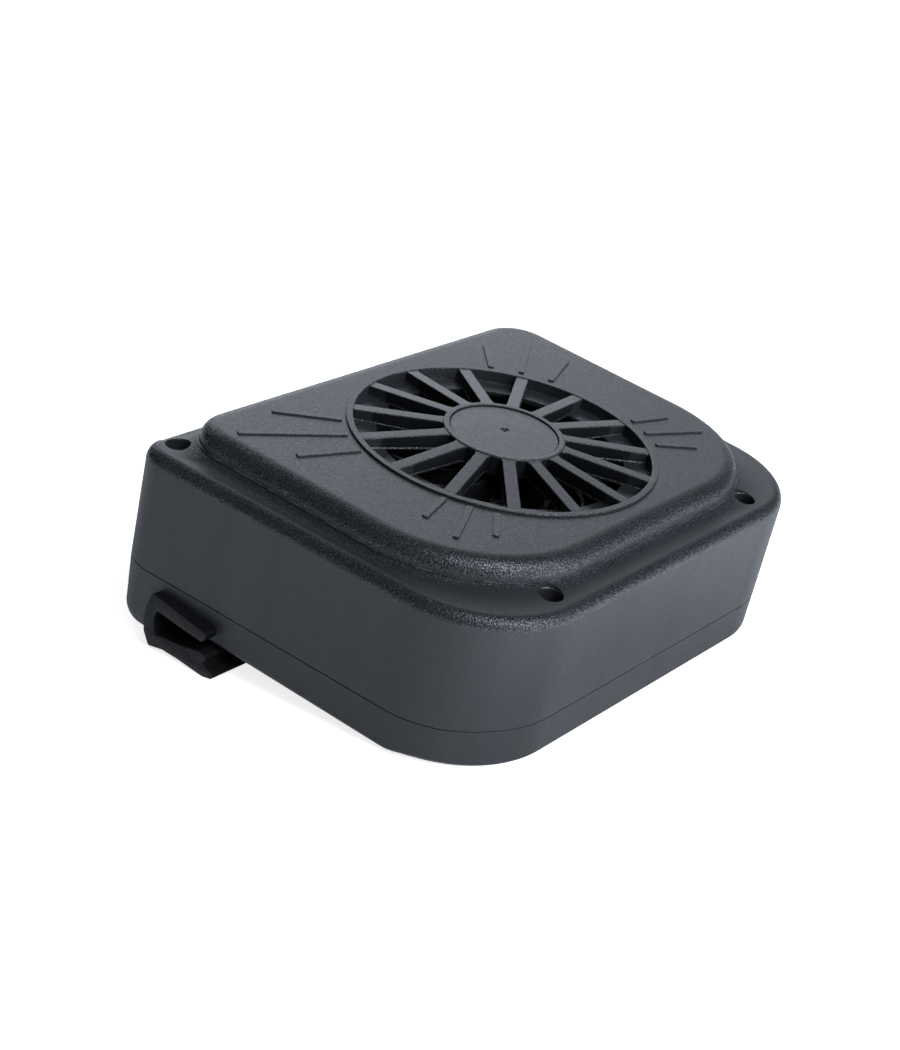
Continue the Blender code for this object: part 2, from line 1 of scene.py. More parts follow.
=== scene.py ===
"""Looks of a solar window vent fan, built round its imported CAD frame.

Shapes are worked out in mm and stored in metres. The case outline lies in the
x-y plane, mirrored about x = 0. The grille faces +z and the solar panel -z. The
hood runs along the +y end and reaches below z = 0; the window channel lies
along x just inside it.
"""

import math

import bmesh
import bpy
from mathutils import Matrix, Vector


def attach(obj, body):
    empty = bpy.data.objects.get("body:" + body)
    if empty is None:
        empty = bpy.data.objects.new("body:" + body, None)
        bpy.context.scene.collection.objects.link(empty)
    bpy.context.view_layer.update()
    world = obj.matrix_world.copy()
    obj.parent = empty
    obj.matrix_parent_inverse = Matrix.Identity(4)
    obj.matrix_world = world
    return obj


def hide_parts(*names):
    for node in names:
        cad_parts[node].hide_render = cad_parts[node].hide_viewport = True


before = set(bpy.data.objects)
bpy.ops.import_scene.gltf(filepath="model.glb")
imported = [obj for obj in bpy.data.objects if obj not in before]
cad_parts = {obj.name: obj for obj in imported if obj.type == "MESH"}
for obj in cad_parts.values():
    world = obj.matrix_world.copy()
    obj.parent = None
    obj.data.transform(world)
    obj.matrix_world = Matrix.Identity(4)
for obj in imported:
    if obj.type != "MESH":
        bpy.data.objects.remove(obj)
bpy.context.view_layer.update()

# ---------------------------------------------------------------------------
# dimensions, mm
# ---------------------------------------------------------------------------
MM = 0.001

# outlines: centre and radius of the +y corner, then of the -y corner
CASE = ((68.8, 46.6), 7.2, (43.5, -29.5), 28.0)
PLATEAU = ((55.0, 36.8), 7.0, (29.0, -11.8), 32.0)

WALL = 2.2
PART_Z = 9.3  # lower edge of the front shell
BACK_TOP = 9.0  # upper edge of the back shell
EDGE_Z = 36.4  # where the round top edge of the wall starts
SHELF_Z = 39.8  # outer rim of the shelf
EDGE_IN = 3.1  # width of that round edge
PLATEAU_Z = 46.4
FLOOR = 3.2

RING_IN, RING_OUT, RING_TOP = 39.0, 40.8, 47.0
LEDGE_R, LEDGE_Z = 32.4, 43.9
HUB_R, HUB_DISC_R, HUB_TOP = 16.0, 14.3, 48.45
GATE = (1.0, 0.6)  # gate mark on the hub
SPOKES, SPOKE_W, SPOKE_FIRST = 15, 3.5, 270.0
SPOKE_TOP_OUT, SPOKE_TOP_IN = 46.75, 48.2

SCREWS = [(-67.7, 48.5), (67.7, 48.5), (-43.2, -49.5), (43.2, -49.5)]
HOUSING_SCREWS = [(-48.5, 34.0), (48.5, 34.0), (-48.5, -28.0), (48.5, -28.0)]
HOUSING_TOP = 27.0

HOOD_INNER_Y = 42.0
PANEL = (-58.5, 58.5, -47.5, 14.5)  # boxes in plan are x0, x1, y0, y1

SHAFT_R = 1.0
IMPELLER_R, BLADES = 29.5, 12


# ---------------------------------------------------------------------------
# mesh helpers
# ---------------------------------------------------------------------------
def shade(mesh, degrees):
    mesh.shade_smooth()
    mesh.set_sharp_from_angle(angle=math.radians(degrees))


def made(name, build, smooth_deg=38.0):
    """New object from build(bm); flat shaded if smooth_deg is 0."""
    bm = bmesh.new()
    build(bm)
    bmesh.ops.remove_doubles(bm, verts=bm.verts, dist=1e-7)
    bmesh.ops.recalc_face_normals(bm, faces=bm.faces)
    mesh = bpy.data.meshes.new(name)
    bm.to_mesh(mesh)
    bm.free()
    obj = bpy.data.objects.new(name, mesh)
    bpy.context.scene.collection.objects.link(obj)
    if smooth_deg:
        shade(mesh, smooth_deg)
    return obj


def carved(name, build, steps, smooth_deg=30.0):
    """Body from build(bm), worked over by (label, operation, build tool) steps."""
    obj = made(name, build)
    tools = []
    for label, operation, build_tool in steps:
        tool = made("tool_" + label, build_tool, 0)
        mod = obj.modifiers.new(label, "BOOLEAN")
        mod.operation = operation
        mod.object = tool
        mod.solver = "EXACT"
        tools.append(tool)
    freeze(obj, smooth_deg)
    for tool in reversed(tools):
        mesh = tool.data
        bpy.data.objects.remove(tool, do_unlink=True)
        bpy.data.meshes.remove(mesh)
    mod = obj.modifiers.new("weighted", "WEIGHTED_NORMAL")
    mod.keep_sharp = True
    return obj


def freeze(obj, smooth_deg):
    """Apply every modifier and clean the mesh."""
    graph = bpy.context.evaluated_depsgraph_get()
    mesh = bpy.data.meshes.new_from_object(obj.evaluated_get(graph), depsgraph=graph)
    obj.modifiers.clear()
    old = obj.data
    obj.data = mesh
    bpy.data.meshes.remove(old)
    bm = bmesh.new()
    bm.from_mesh(mesh)
    bmesh.ops.remove_doubles(bm, verts=bm.verts, dist=2e-7)
    bmesh.ops.dissolve_degenerate(bm, edges=bm.edges, dist=1e-7)
    bm.to_mesh(mesh)
    bm.free()
    shade(mesh, smooth_deg)


def skin(bm, rows):
    """Quads between each closed row of vertices and the next."""
    count = len(rows[0])
    for a, b in zip(rows, rows[1:]):
        for i in range(count):
            j = (i + 1) % count
            bm.faces.new((a[i], a[j], b[j], b[i]))


def cap(bm, rows):
    bm.faces.new(list(reversed(rows[0])))
    bm.faces.new(rows[-1])


def loft(bm, rings):
    rows = [[bm.verts.new(Vector(p) * MM) for p in ring] for ring in rings]
    skin(bm, rows)
    cap(bm, rows)


def flat(points, z):
    return [(x, y, z) for x, y in points]


def prism(bm, points, z0, z1):
    loft(bm, [flat(points, z0), flat(points, z1)])


def prism_x(bm, points, half):
    """Prism along x, from -half to half, of an outline in the y-z plane."""
    loft(bm, [[(x, y, z) for y, z in points] for x in (-half, half)])


def turned(bm, profile, count, centre=(0.0, 0.0)):
    """Turn (radius, z) points about z. A profile that starts on the axis also
    ends there and makes a solid; any other is closed into a ring."""
    solid = profile[0][0] == 0.0
    rows = []
    for radius, z in profile[1:-1] if solid else profile:
        row = []
        for i in range(count):
            angle = 2 * math.pi * i / count
            x = centre[0] + radius * math.cos(angle)
            y = centre[1] + radius * math.sin(angle)
            row.append(bm.verts.new(Vector((x, y, z)) * MM))
        rows.append(row)
    if solid:
        skin(bm, rows)
        cap(bm, rows)
    else:
        skin(bm, rows + rows[:1])


def cylinder(bm, radius, z0, z1, count, centre):
    turned(bm, [(0.0, z0), (radius, z0), (radius, z1), (0.0, z1)], count, centre)


def shrink(box, inset):
    x0, x1, y0, y1 = box
    return x0 + inset, x1 - inset, y0 + inset, y1 - inset


def rect(box, corner, steps=6):
    """Rectangle with round corners."""
    x0, x1, y0, y1 = shrink(box, corner)
    points = []
    for x, y, start in ((x1, y0, -90), (x1, y1, 0), (x0, y1, 90), (x0, y0, 180)):
        for i in range(steps + 1):
            angle = math.radians(start + 90.0 * i / steps)
            points.append((x + corner * math.cos(angle), y + corner * math.sin(angle)))
    return points


def quarter(steps, first=1):
    """Angles of a quarter turn, from step number first."""
    return [math.radians(90.0 * i / steps) for i in range(first, steps + 1)]


def arc(x, z, radius, degrees):
    angles = [math.radians(d) for d in degrees]
    return [(x + radius * math.cos(a), z + radius * math.sin(a)) for a in angles]


def soft_box(bm, box, z0, z1, corner, edge):
    """Plate with round corners in plan and a round top and bottom edge."""
    angles = quarter(4, 0)
    levels = [(edge * (1 - math.sin(a)), z0 + edge * (1 - math.cos(a))) for a in angles]
    levels += [(edge * (1 - math.cos(a)), z1 - edge * (1 - math.sin(a))) for a in angles]
    loft(bm, [flat(rect(shrink(box, inset), max(corner - inset, 0.05), 5), z)
              for inset, z in levels])


def clamp(value):
    return min(max(value, 0.0), 1.0)


def interpolate(table, value):
    for (a, at_a), (b, at_b) in zip(table, table[1:]):
        if value <= b:
            return at_a + (at_b - at_a) * (value - a) / (b - a)
    return table[-1][1]


# ---------------------------------------------------------------------------
# outlines of the case
# ---------------------------------------------------------------------------
def mirrored(points):
    return points + [(-x, y) for x, y in reversed(points)]


def rounded(shape, offset, top_steps=18, low_steps=44):
    """Outline of two corner arcs joined by their tangent, grown by offset."""
    (top_x, top_y), top_r, (low_x, low_y), low_r = shape
    dx, dy = top_x - low_x, top_y - low_y
    join = math.atan2(dy, dx) - math.acos((low_r - top_r) / math.hypot(dx, dy))
    right = []
    for i in range(low_steps + 1):
        a = -math.pi / 2 + (join + math.pi / 2) * i / low_steps
        right.append((low_x + (low_r + offset) * math.cos(a), low_y + (low_r + offset) * math.sin(a)))
    for i in range(top_steps + 1):
        a = join + (math.pi / 2 - join) * i / top_steps
        right.append((top_x + (top_r + offset) * math.cos(a), top_y + (top_r + offset) * math.sin(a)))
    return mirrored(right)


def case(offset):
    return rounded(CASE, offset)


def plateau(offset):
    """The plateau bulges a little wherever x < 20 and the outline faces -y."""
    points = []
    for (x, y), (far_x, far_y) in zip(rounded(PLATEAU, offset), rounded(PLATEAU, offset + 1.0)):
        if x < 20:
            push = max(0.0, y - far_y) ** 2
            x, y = x + (x - far_x) * -0.6 * push, y + 0.6 * max(0.0, far_y - y) ** 2 * (far_y - y)
        points.append((x, y))
    return points


def plateau(offset):
    """The plateau swells by up to 0.6 on its +y side, wherever x < 20."""
    points = []
    for (x, y), (far_x, far_y) in zip(rounded(PLATEAU, offset), rounded(PLATEAU, offset + 1.0)):
        if x < 20:
            up = max(0.0, far_y - y)
            x, y = x + (far_x - x) * 0.6 * up ** 2, y + (far_y - y) * 0.6 * up ** 2
        points.append((x, y))
    return points


# angle of the wall from x towards -y, degrees, and shift in z of the foot or
# of the parting line
SIDE_DROP = [(0, -1.6), (8, -1.55), (15, -0.95), (22, -0.65), (33, -0.5), (50, -0.42), (90, -0.35)]
PART_RISE = [(0, -0.45), (8, -0.4), (20, -0.2), (33, 0.0), (55, 0.65), (90, 0.65)]


def wall_ring(offset, z, part=0.0, foot=0.0):
    """Outline of the wall at height z. Towards the foot it leans further out on
    the -x side and in at the -y end. part and foot weigh the shifts in z."""
    low = clamp((38.0 - z) / 28.0)
    ring = []
    for (x, y), (far_x, far_y) in zip(case(offset), case(offset + 1.0)):
        out_x, out_y = far_x - x, far_y - y
        lean = 0.0
        if out_x < 0:
            lean += (0.25 + 0.75 * low) * out_x * out_x
        if out_y < 0:
            lean -= 0.6 * low * out_y * out_y
        else:
            lean += (0.9 if out_x < 0 else 0.5) * out_y * out_y
        # bulge low on the -x wall, round y = 21
        if out_x < -0.5 and z < 9.5:
            lean += 1.1 * math.exp(-((y - 21.0) / 9.0) ** 2) * min((9.5 - z) / 5.0, 1.0)
        # the shifts in z die away from y = 20 to 42
        fade = 1.0 - clamp((y - 20.0) / 22.0)
        angle = math.degrees(math.atan2(abs(out_y), abs(out_x))) if out_y < 0 else 0.0
        dz = part * interpolate(PART_RISE, angle) * (fade if out_y >= 0 else 1.0)
        dz += foot * interpolate(SIDE_DROP, angle) * fade
        ring.append((x + out_x * lean, y + out_y * lean, z + dz))
    return ring


# ---------------------------------------------------------------------------
# front shell
# ---------------------------------------------------------------------------
# hollow inside, from the roof down to the parting line: outline, offset, z
FRONT_INSIDE = [
    (plateau, -2.0, 44.1), (plateau, 0.6, 43.9), (plateau, 1.9, 43.0), (plateau, 2.6, 41.0),
    (plateau, 3.2, 37.7), (case, -4.4, 37.5), (case, -2.9, 36.8), (case, -2.4, 35.6),
    (case, -WALL + 0.2, PART_Z + 0.1), (case, -WALL + 0.35, PART_Z),
]
# outer wall: offset, z, weight of the parting line's rise
FRONT_WALL = [
    (0.0, PART_Z, 1.0), (0.14, PART_Z + 0.06, 1.0), (0.2, PART_Z + 0.2, 1.0),
    (0.1, 22.0, 0.5), (0.03, 32.0, 0.1), (0.0, EDGE_Z, 0.0),
]
SHOULDER_FOOT = 5.16  # offset from the plateau outline
SHELF_STATIONS = (0.90, 0.74, 0.58, 0.43, 0.30, 0.19, 0.10, 0.03)  # 1 rim, 0 shoulder
# mould flash round the foot of the shoulder: offset, z
FLASH = [(SHOULDER_FOOT, 41.36), (5.36, 41.44), (5.36, 41.60), (5.04, 41.66)]
SHOULDER_W, SHOULDER_Z = 5.0, 41.7


def front_body(bm):
    rings = [flat(outline(offset), z) for outline, offset, z in FRONT_INSIDE]
    rings += [wall_ring(*station) for station in FRONT_WALL]
    for a in quarter(11):
        z = EDGE_Z + (SHELF_Z - EDGE_Z) * math.sin(a)
        rings.append(wall_ring(-EDGE_IN * (1 - math.cos(a)), z))
    # the shelf runs up, hollow, to the foot of the shoulder
    foot, rim = plateau(SHOULDER_FOOT), wall_ring(-EDGE_IN, SHELF_Z)
    for t in SHELF_STATIONS:
        z = SHELF_Z + 1.5 * (1 - t) ** 3.2
        rings.append([(x + (rim_x - x) * t, y + (rim_y - y) * t, z)
                      for (x, y), (rim_x, rim_y, _) in zip(foot, rim)])
    rings += [flat(plateau(offset), z) for offset, z in FLASH]
    for a in quarter(16):
        z = SHOULDER_Z + (PLATEAU_Z - SHOULDER_Z) * math.sin(a) ** 0.96
        rings.append(flat(plateau(SHOULDER_W * math.cos(a) ** 0.92), z))
    loft(bm, rings)


def grille_blank(bm):
    edge = 0.22
    profile = [(0.0, 42.0), (41.2, 42.0), (41.2, 45.6), (RING_OUT, 45.6), (RING_OUT, RING_TOP - edge)]
    profile += arc(RING_OUT - edge, RING_TOP - edge, edge, (30, 60, 90))
    turned(bm, profile + [(0.0, RING_TOP)], 192)


def front_bosses(bm):
    for place in SCREWS:
        cylinder(bm, 4.3, 14.0, 38.6, 32, place)
    for place in HOUSING_SCREWS:
        cylinder(bm, 3.2, HOUSING_TOP + 0.3, 45.0, 24, place)


def intake(bm):
    """Bore through the grille blank, with the ledge inside the ring."""
    turned(bm, [
        (0.0, 36.0), (38.0, 36.0), (38.0, 42.1), (LEDGE_R + 0.5, 42.3), (LEDGE_R, 42.7),
        (LEDGE_R, LEDGE_Z - 0.4), (LEDGE_R + 0.12, LEDGE_Z - 0.12), (LEDGE_R + 0.4, LEDGE_Z),
        (RING_IN - 0.35, LEDGE_Z), (RING_IN - 0.1, LEDGE_Z + 0.1), (RING_IN, LEDGE_Z + 0.35),
        (RING_IN, RING_TOP - 0.28), (RING_IN + 0.08, RING_TOP - 0.09),
        (RING_IN + 0.28, RING_TOP + 0.01), (RING_IN + 0.28, 55.0), (0.0, 55.0),
    ], 192)


def spokes(bm):
    """Spokes that rise towards the hub, with round top edges and a thin foot."""
    edge = 0.30
    for k in range(SPOKES):
        angle = math.radians(SPOKE_FIRST + k * 360.0 / SPOKES)
        along = Vector((math.cos(angle), math.sin(angle), 0))
        across = Vector((-along.y, along.x, 0))
        rows = []
        for r in (14.7, 16.2, 16.6, 17.2, 18.2, 20.0, 27.0, 34.0, RING_IN + 0.7):
            climb = clamp((RING_IN - r) / (RING_IN - HUB_R))
            top = SPOKE_TOP_OUT + (SPOKE_TOP_IN - SPOKE_TOP_OUT) * climb
            # fillet where the spoke runs into the hub
            flare = 0.45 * max(0.0, 1.0 - (r - HUB_R) / 1.5) ** 2.2 if r > 15.0 else 0.45
            half = SPOKE_W / 2 + flare
            section = [
                (-half + 0.10, 43.55), (half - 0.10, 43.55), (half - 0.02, 43.75),
                (half - 0.05, 44.05), (half - 0.22, 44.25), (half - 0.02, top - edge),
            ]
            corner = arc(half - edge, top - edge, edge, (22, 45, 68, 90))
            section += [(x - 0.02, z) for x, z in corner]
            section += [(-x, z) for x, z in reversed(section[2:])]
            rows.append([tuple(along * r + across * x + Vector((0, 0, z))) for x, z in section])
        loft(bm, rows)


def hub(bm):
    """Hub with a fine groove round the disc on its face."""
    edge = 0.4
    profile = [(0.0, 44.6), (13.0, 44.6), (13.0, 43.2), (HUB_R - 0.1, 43.2), (HUB_R, 43.4),
               (HUB_R, HUB_TOP - edge)]
    profile += arc(HUB_R - edge, HUB_TOP - edge, edge, (22, 45, 68, 90))
    # radius and z from the disc's rim and the hub's top
    profile += [(HUB_DISC_R + r, HUB_TOP + z) for r, z in (
        (0.18, 0.0), (0.05, -0.06), (0.0, -0.16), (-0.02, -0.80), (-0.22, -0.80),
        (-0.25, -0.41), (-0.29, -0.36))]
    turned(bm, profile + [(0.0, HUB_TOP - 0.36)], 144)


def gate_dish(bm):
    levels = ((0.0, -0.72), (0.55, -0.70), (1.02, -0.60), (1.15, -0.34), (1.15, 0.2), (0.0, 0.2))
    turned(bm, [(r, HUB_TOP + z) for r, z in levels], 28, GATE)


def gate_stub(bm):
    """Torn stub of uneven outline in the gate dish."""
    angles = [2 * math.pi * i / 14 for i in range(14)]
    loft(bm, [[(GATE[0] + r * (1 + 0.22 * math.sin(3.0 * a)) * math.cos(a),
                GATE[1] + r * (1 + 0.18 * math.cos(2.0 * a)) * math.sin(a),
                HUB_TOP + z + 0.05 * math.sin(2 * a)) for a in angles]
              for r, z in ((0.42, -0.9), (0.40, -0.40), (0.30, -0.28), (0.12, -0.22))])


def screw_holes(bm):
    counterbored = [(0.0, 12.0), (1.7, 12.0), (1.7, 16.4), (2.95, 16.4), (2.95, 39.45),
                    (3.02, 39.7), (3.22, 39.95), (3.22, 60.0), (0.0, 60.0)]
    for place in SCREWS:
        turned(bm, counterbored, 48, place)
    for place in HOUSING_SCREWS:
        cylinder(bm, 1.2, 20.0, 35.0, 16, place)


# ribs that ray out over the plateau: x, y of one end, x, y of the other
RIBS = [
    (42.1, 39.2, 31.6, 28.9), (57.0, 34.6, 36.8, 22.2), (56.0, 20.4, 40.5, 14.7),
    (-43.7, 40.8, -31.0, 28.4), (-60.0, 36.7, -36.0, 22.0), (-55.7, 20.8, -39.6, 14.5),
    (52.3, -16.6, 40.9, -12.9), (54.2, -26.9, 38.0, -19.1), (44.3, -31.8, 35.0, -24.7),
    (-51.2, -16.3, -39.8, -12.9), (-52.5, -26.8, -37.5, -19.2), (-43.4, -31.7, -34.4, -25.0),
]
RIB_W, RIB_CORNER = 1.6, 0.18
RIB_LEVELS = ((-0.8, 0.0), (0.26, 0.0), (0.36, 0.04), (0.40, 0.14))  # z over plateau, inset


def ribs(bm):
    for x0, y0, x1, y1 in RIBS:
        length = math.hypot(x1 - x0, y1 - y0)
        along = Vector(((x1 - x0) / length, (y1 - y0) / length, 0))
        across = Vector((-along.y, along.x, 0))
        centre = Vector(((x0 + x1) / 2, (y0 + y1) / 2, 0))
        rows = []
        for rise, inset in RIB_LEVELS:
            far = length / 2 - inset - RIB_CORNER
            side = RIB_W / 2 - inset - RIB_CORNER
            points = []
            for end, flank, start in ((1, -1, -90), (1, 1, 0), (-1, 1, 90), (-1, -1, 180)):
                for i in range(4):
                    a = math.radians(start + 30 * i)
                    p = (centre + along * (end * far + RIB_CORNER * math.cos(a))
                         + across * (flank * side + RIB_CORNER * math.sin(a)))
                    points.append((p.x, p.y, PLATEAU_Z + rise))
            rows.append(points)
        loft(bm, rows)


def front_shell():
    return carved("front_shell", front_body, [
        ("grille_blank", "UNION", grille_blank),
        ("bosses", "UNION", front_bosses),
        ("intake", "DIFFERENCE", intake),
        ("spokes", "UNION", spokes),
        ("hub", "UNION", hub),
        ("gate_dish", "DIFFERENCE", gate_dish),
        ("gate_stub", "UNION", gate_stub),
        ("screw_holes", "DIFFERENCE", screw_holes),
        ("rays", "UNION", ribs),
    ])


# ---------------------------------------------------------------------------
# back shell with the hood
# ---------------------------------------------------------------------------
# inside and the tongue that enters the front shell: offset, z
BACK_INSIDE = [
    (-4.1, FLOOR), (-4.1, 11.2), (-3.9, 11.4), (-2.8, 11.4), (-2.6, 11.2), (-2.6, BACK_TOP + 0.13),
]
# outer wall: offset, z, weights of the parting line's rise and the foot's drop
BACK_WALL = [
    (0.0, BACK_TOP + 0.13, 1.0, 0.0), (0.14, BACK_TOP + 0.05, 1.0, 0.0),
    (0.2, BACK_TOP - 0.2, 1.0, 0.0), (0.12, 6.0, 0.6, 0.4), (0.05, 1.1, 0.0, 1.0),
]
FOOT_OFFSET, FOOT_Z = 0.05, 1.1

HOOD_OFFSET = -0.02
HOOD_ROUND_Z, HOOD_ROUND = -3.2, (6.0, 6.8)  # start of its round edge; width, height
ROOF_Y = (16.0, 47.0)

# outlines in the y-z plane
NOTCH = [(23.4, -16.0), (23.4, 1.0), (21.2, 1.9), (21.2, 3.5), (38.6, 5.1), (40.2, 1.2),
         (HOOD_INNER_Y, -3.0), (HOOD_INNER_Y, -16.0)]
DUCT = [(44.0, -8.0), (46.8, -8.0), (50.4, -4.6), (51.2, -1.0), (51.2, 20.0), (44.0, 20.0)]

LOUVRES, LOUVRE_FIRST, LOUVRE_PITCH, LOUVRE_HALF = 10, -54.0, 12.0, 4.6
LIGHT_WINDOW = (-55.5, 55.5, -44.3, 11.5)


def back_body(bm):
    rings = [flat(case(offset), z) for offset, z in BACK_INSIDE]
    rings += [wall_ring(*station) for station in BACK_WALL]
    # the foot is a low rim round the solar face, with a round outer edge
    for a in quarter(7):
        z = FOOT_Z - FOOT_Z * math.sin(a)
        rings.append(wall_ring(FOOT_OFFSET - 1.0 * (1 - math.cos(a)), z, foot=1.0))
    rings += [wall_ring(-2.3, 0.0, foot=1.0), wall_ring(-2.6, 0.12, foot=0.8)]
    rings += [flat(case(-3.6), 0.1), flat(case(-4.2), 0.0)]
    loft(bm, rings)


def half_width(y):
    side = [p for p in case(0.0) if p[0] > 0]
    for (xa, ya), (xb, yb) in zip(side, side[1:]):
        if ya <= y <= yb:
            return xa + (xb - xa) * (y - ya) / (yb - ya)


def roof(bm):
    """Slab across the +y part of the case, above the channel."""
    prism(bm, mirrored([(half_width(y) - 1.6, y) for y in ROOF_Y]), 1.2, 8.7)


def hood(bm):
    levels = [(-1.0, 7.0), (HOOD_OFFSET, 4.0), (HOOD_OFFSET, -0.5)]
    width, height = HOOD_ROUND
    levels += [(HOOD_OFFSET - width * (1 - math.cos(a)), HOOD_ROUND_Z - height * math.sin(a))
               for a in quarter(11)]
    rows = []
    for offset, z in levels:
        end = [(x, y) for x, y, _ in wall_ring(offset, z) if y > 45.5]
        # the inner wall is square to the channel
        rows.append(flat([(end[0][0], 41.0)] + end + [(end[-1][0], 41.0)], z))
    loft(bm, rows)


def posts(bm):
    profile = [(0.0, 2.0), (4.2, 2.0), (4.2, 8.8), (3.0, 8.8), (3.0, 13.7), (0.0, 13.7)]
    for place in SCREWS:
        turned(bm, profile, 32, place)


def louvres(bm):
    for k in range(LOUVRES):
        x = LOUVRE_FIRST + LOUVRE_PITCH * k
        prism(bm, rect((x - LOUVRE_HALF, x + LOUVRE_HALF, 44.5, 46.9), 1.0, 5), -12.0, -7.4)


def rebate(bm):
    """Seat of the cover sheet; inset, corner radius and z of each level."""
    levels = ((-0.5, 1.3, -3.0), (-0.3, 1.1, 0.0), (0.0, 0.8, 0.3), (0.0, 0.8, 1.9))
    loft(bm, [flat(rect(shrink(PANEL, inset), corner), z) for inset, corner, z in levels])


def pilots(bm):
    for place in SCREWS:
        cylinder(bm, 1.25, 4.4, 20.0, 16, place)


def back_shell():
    return carved("back_shell", back_body, [
        ("roof", "UNION", roof),
        ("hood", "UNION", hood),
        ("posts", "UNION", posts),
        ("notch", "DIFFERENCE", lambda bm: prism_x(bm, NOTCH, 95.0)),
        ("duct", "DIFFERENCE", lambda bm: prism_x(bm, DUCT, 60.0)),
        ("louvres", "DIFFERENCE", louvres),
        ("rebate", "DIFFERENCE", rebate),
        ("light_window", "DIFFERENCE", lambda bm: prism(bm, rect(LIGHT_WINDOW, 1.5), -3.0, 8.0)),
        ("pilots", "DIFFERENCE", pilots),
    ])


# ---------------------------------------------------------------------------
# window channel: extruded section with round corners, lip at rest
# ---------------------------------------------------------------------------
# section, clockwise with y to the right and z up: y, z, corner radius
CHANNEL = [
    (19.7, 4.1, 0.7), (39.1, 5.9, 1.0), (40.7, 1.2, 2.0), (40.9, -2.4, 2.5), (40.4, -5.8, 2.0),
    (38.2, -9.0, 0.9), (33.4, -7.7, 3.0), (27.9, -7.5, 4.0), (19.2, -7.7, 1.2), (16.3, -6.9, 0.6),
    (15.6, -5.6, 0.5), (17.2, -4.9, 0.5), (19.4, -4.6, 0.4), (19.7, -3.5, 0.5), (18.6, -2.6, 0.7),
    (19.2, -1.5, 0.7), (21.4, -1.5, 0.8), (24.1, -2.3, 3.0), (27.8, -3.3, 4.0), (31.7, -3.9, 4.0),
    (36.6, -4.9, 0.8), (37.6, -0.3, 1.6), (36.7, 1.9, 0.7), (28.7, 1.5, 5.0), (20.9, 1.3, 0.7),
]
CHANNEL_HALF, CHANNEL_STEPS = 79.5, 40
CHANNEL_END = [(0.0, 0.10), (0.04, 0.03), (0.12, 0.0)]  # distance from the end, inset


def round_polygon(corners, steps=4):
    points = [Vector(c[:2]) for c in corners]
    outline = []
    for i, (p, corner) in enumerate(zip(points, corners)):
        before, after = points[i - 1] - p, points[(i + 1) % len(points)] - p
        a, b = before.normalized(), after.normalized()
        half = a.angle(b) / 2
        radius = min(corner[2], 0.45 * min(before.length, after.length) * math.tan(half))
        reach = radius / math.tan(half)
        centre = p + (a + b).normalized() * (radius / math.sin(half))
        start, end = p + a * reach - centre, p + b * reach - centre
        angle = math.atan2(start.y, start.x)
        turn = (math.atan2(end.y, end.x) - angle + math.pi) % (2 * math.pi) - math.pi
        for k in range(steps + 1):
            q = angle + turn * k / steps
            outline.append((centre.x + radius * math.cos(q), centre.y + radius * math.sin(q)))
    return outline


def channel(bm):
    outline = round_polygon(CHANNEL)
    inward = []
    for i in range(len(outline)):
        d = Vector(outline[(i + 1) % len(outline)]) - Vector(outline[i - 1])
        inward.append(Vector((d.y, -d.x)).normalized())
    half = CHANNEL_HALF
    stations = [(-half + x, inset) for x, inset in CHANNEL_END]
    stations += [(-half + 2 * half * i / CHANNEL_STEPS, 0.0) for i in range(1, CHANNEL_STEPS)]
    stations += [(half - x, inset) for x, inset in reversed(CHANNEL_END)]
    loft(bm, [[(x, y + normal.x * inset, z + normal.y * inset)
               for (y, z), normal in zip(outline, inward)] for x, inset in stations])


# ---------------------------------------------------------------------------
# solar panel
# ---------------------------------------------------------------------------
BACKING = (-57.0, 57.0, -44.9, 13.0)
CELL_Z = 3.5  # lower face of the bus bars
CELLS, CELL_MARGIN = 8, 3.0
CELL_PITCH = (BACKING[1] - BACKING[0] - 2 * CELL_MARGIN) / CELLS
# inset in x from the pitch, inset in y from the backing, height over CELL_Z
CELL_LEVELS = ((0.5, 2.65, 0.08), (0.4, 2.55, 0.2), (0.45, 2.6, 0.26))


def cell_x(k):
    return BACKING[0] + CELL_MARGIN + CELL_PITCH * (k + 0.5)


def backing_sheet(bm):
    soft_box(bm, BACKING, CELL_Z + 0.25, CELL_Z + 1.4, corner=1.2, edge=0.2)


def cell_strips(bm):
    _, _, y0, y1 = BACKING
    half = CELL_PITCH / 2
    for k in range(CELLS):
        x = cell_x(k)
        loft(bm, [flat(rect((x - half + dx, x + half - dx, y0 + dy, y1 - dy), 0.6, 4), CELL_Z + dz)
                  for dx, dy, dz in CELL_LEVELS])


def bus_bars(bm):
    """Two bars along each cell, and tabs across pairs of cells at both ends."""
    _, _, y0, y1 = BACKING
    for k in range(CELLS):
        for side in (-0.25, 0.25):
            x = cell_x(k) + side * CELL_PITCH
            bar = rect((x - 0.45, x + 0.45, y0 + 1.4, y1 - 1.4), 0.2, 3)
            prism(bm, bar, CELL_Z, CELL_Z + 0.085)
    reach = CELL_PITCH * 0.78
    for y in (y0 + 1.5, y1 - 1.5):
        for k in range(CELLS // 2):
            x = cell_x(2 * k + 0.5)
            tab = rect((x - reach, x + reach, y - 0.5, y + 0.5), 0.2, 3)
            prism(bm, tab, CELL_Z, CELL_Z + 0.09)


def cover_sheet(bm):
    soft_box(bm, shrink(PANEL, 0.3), 0.0, 1.6, corner=0.9, edge=0.25)


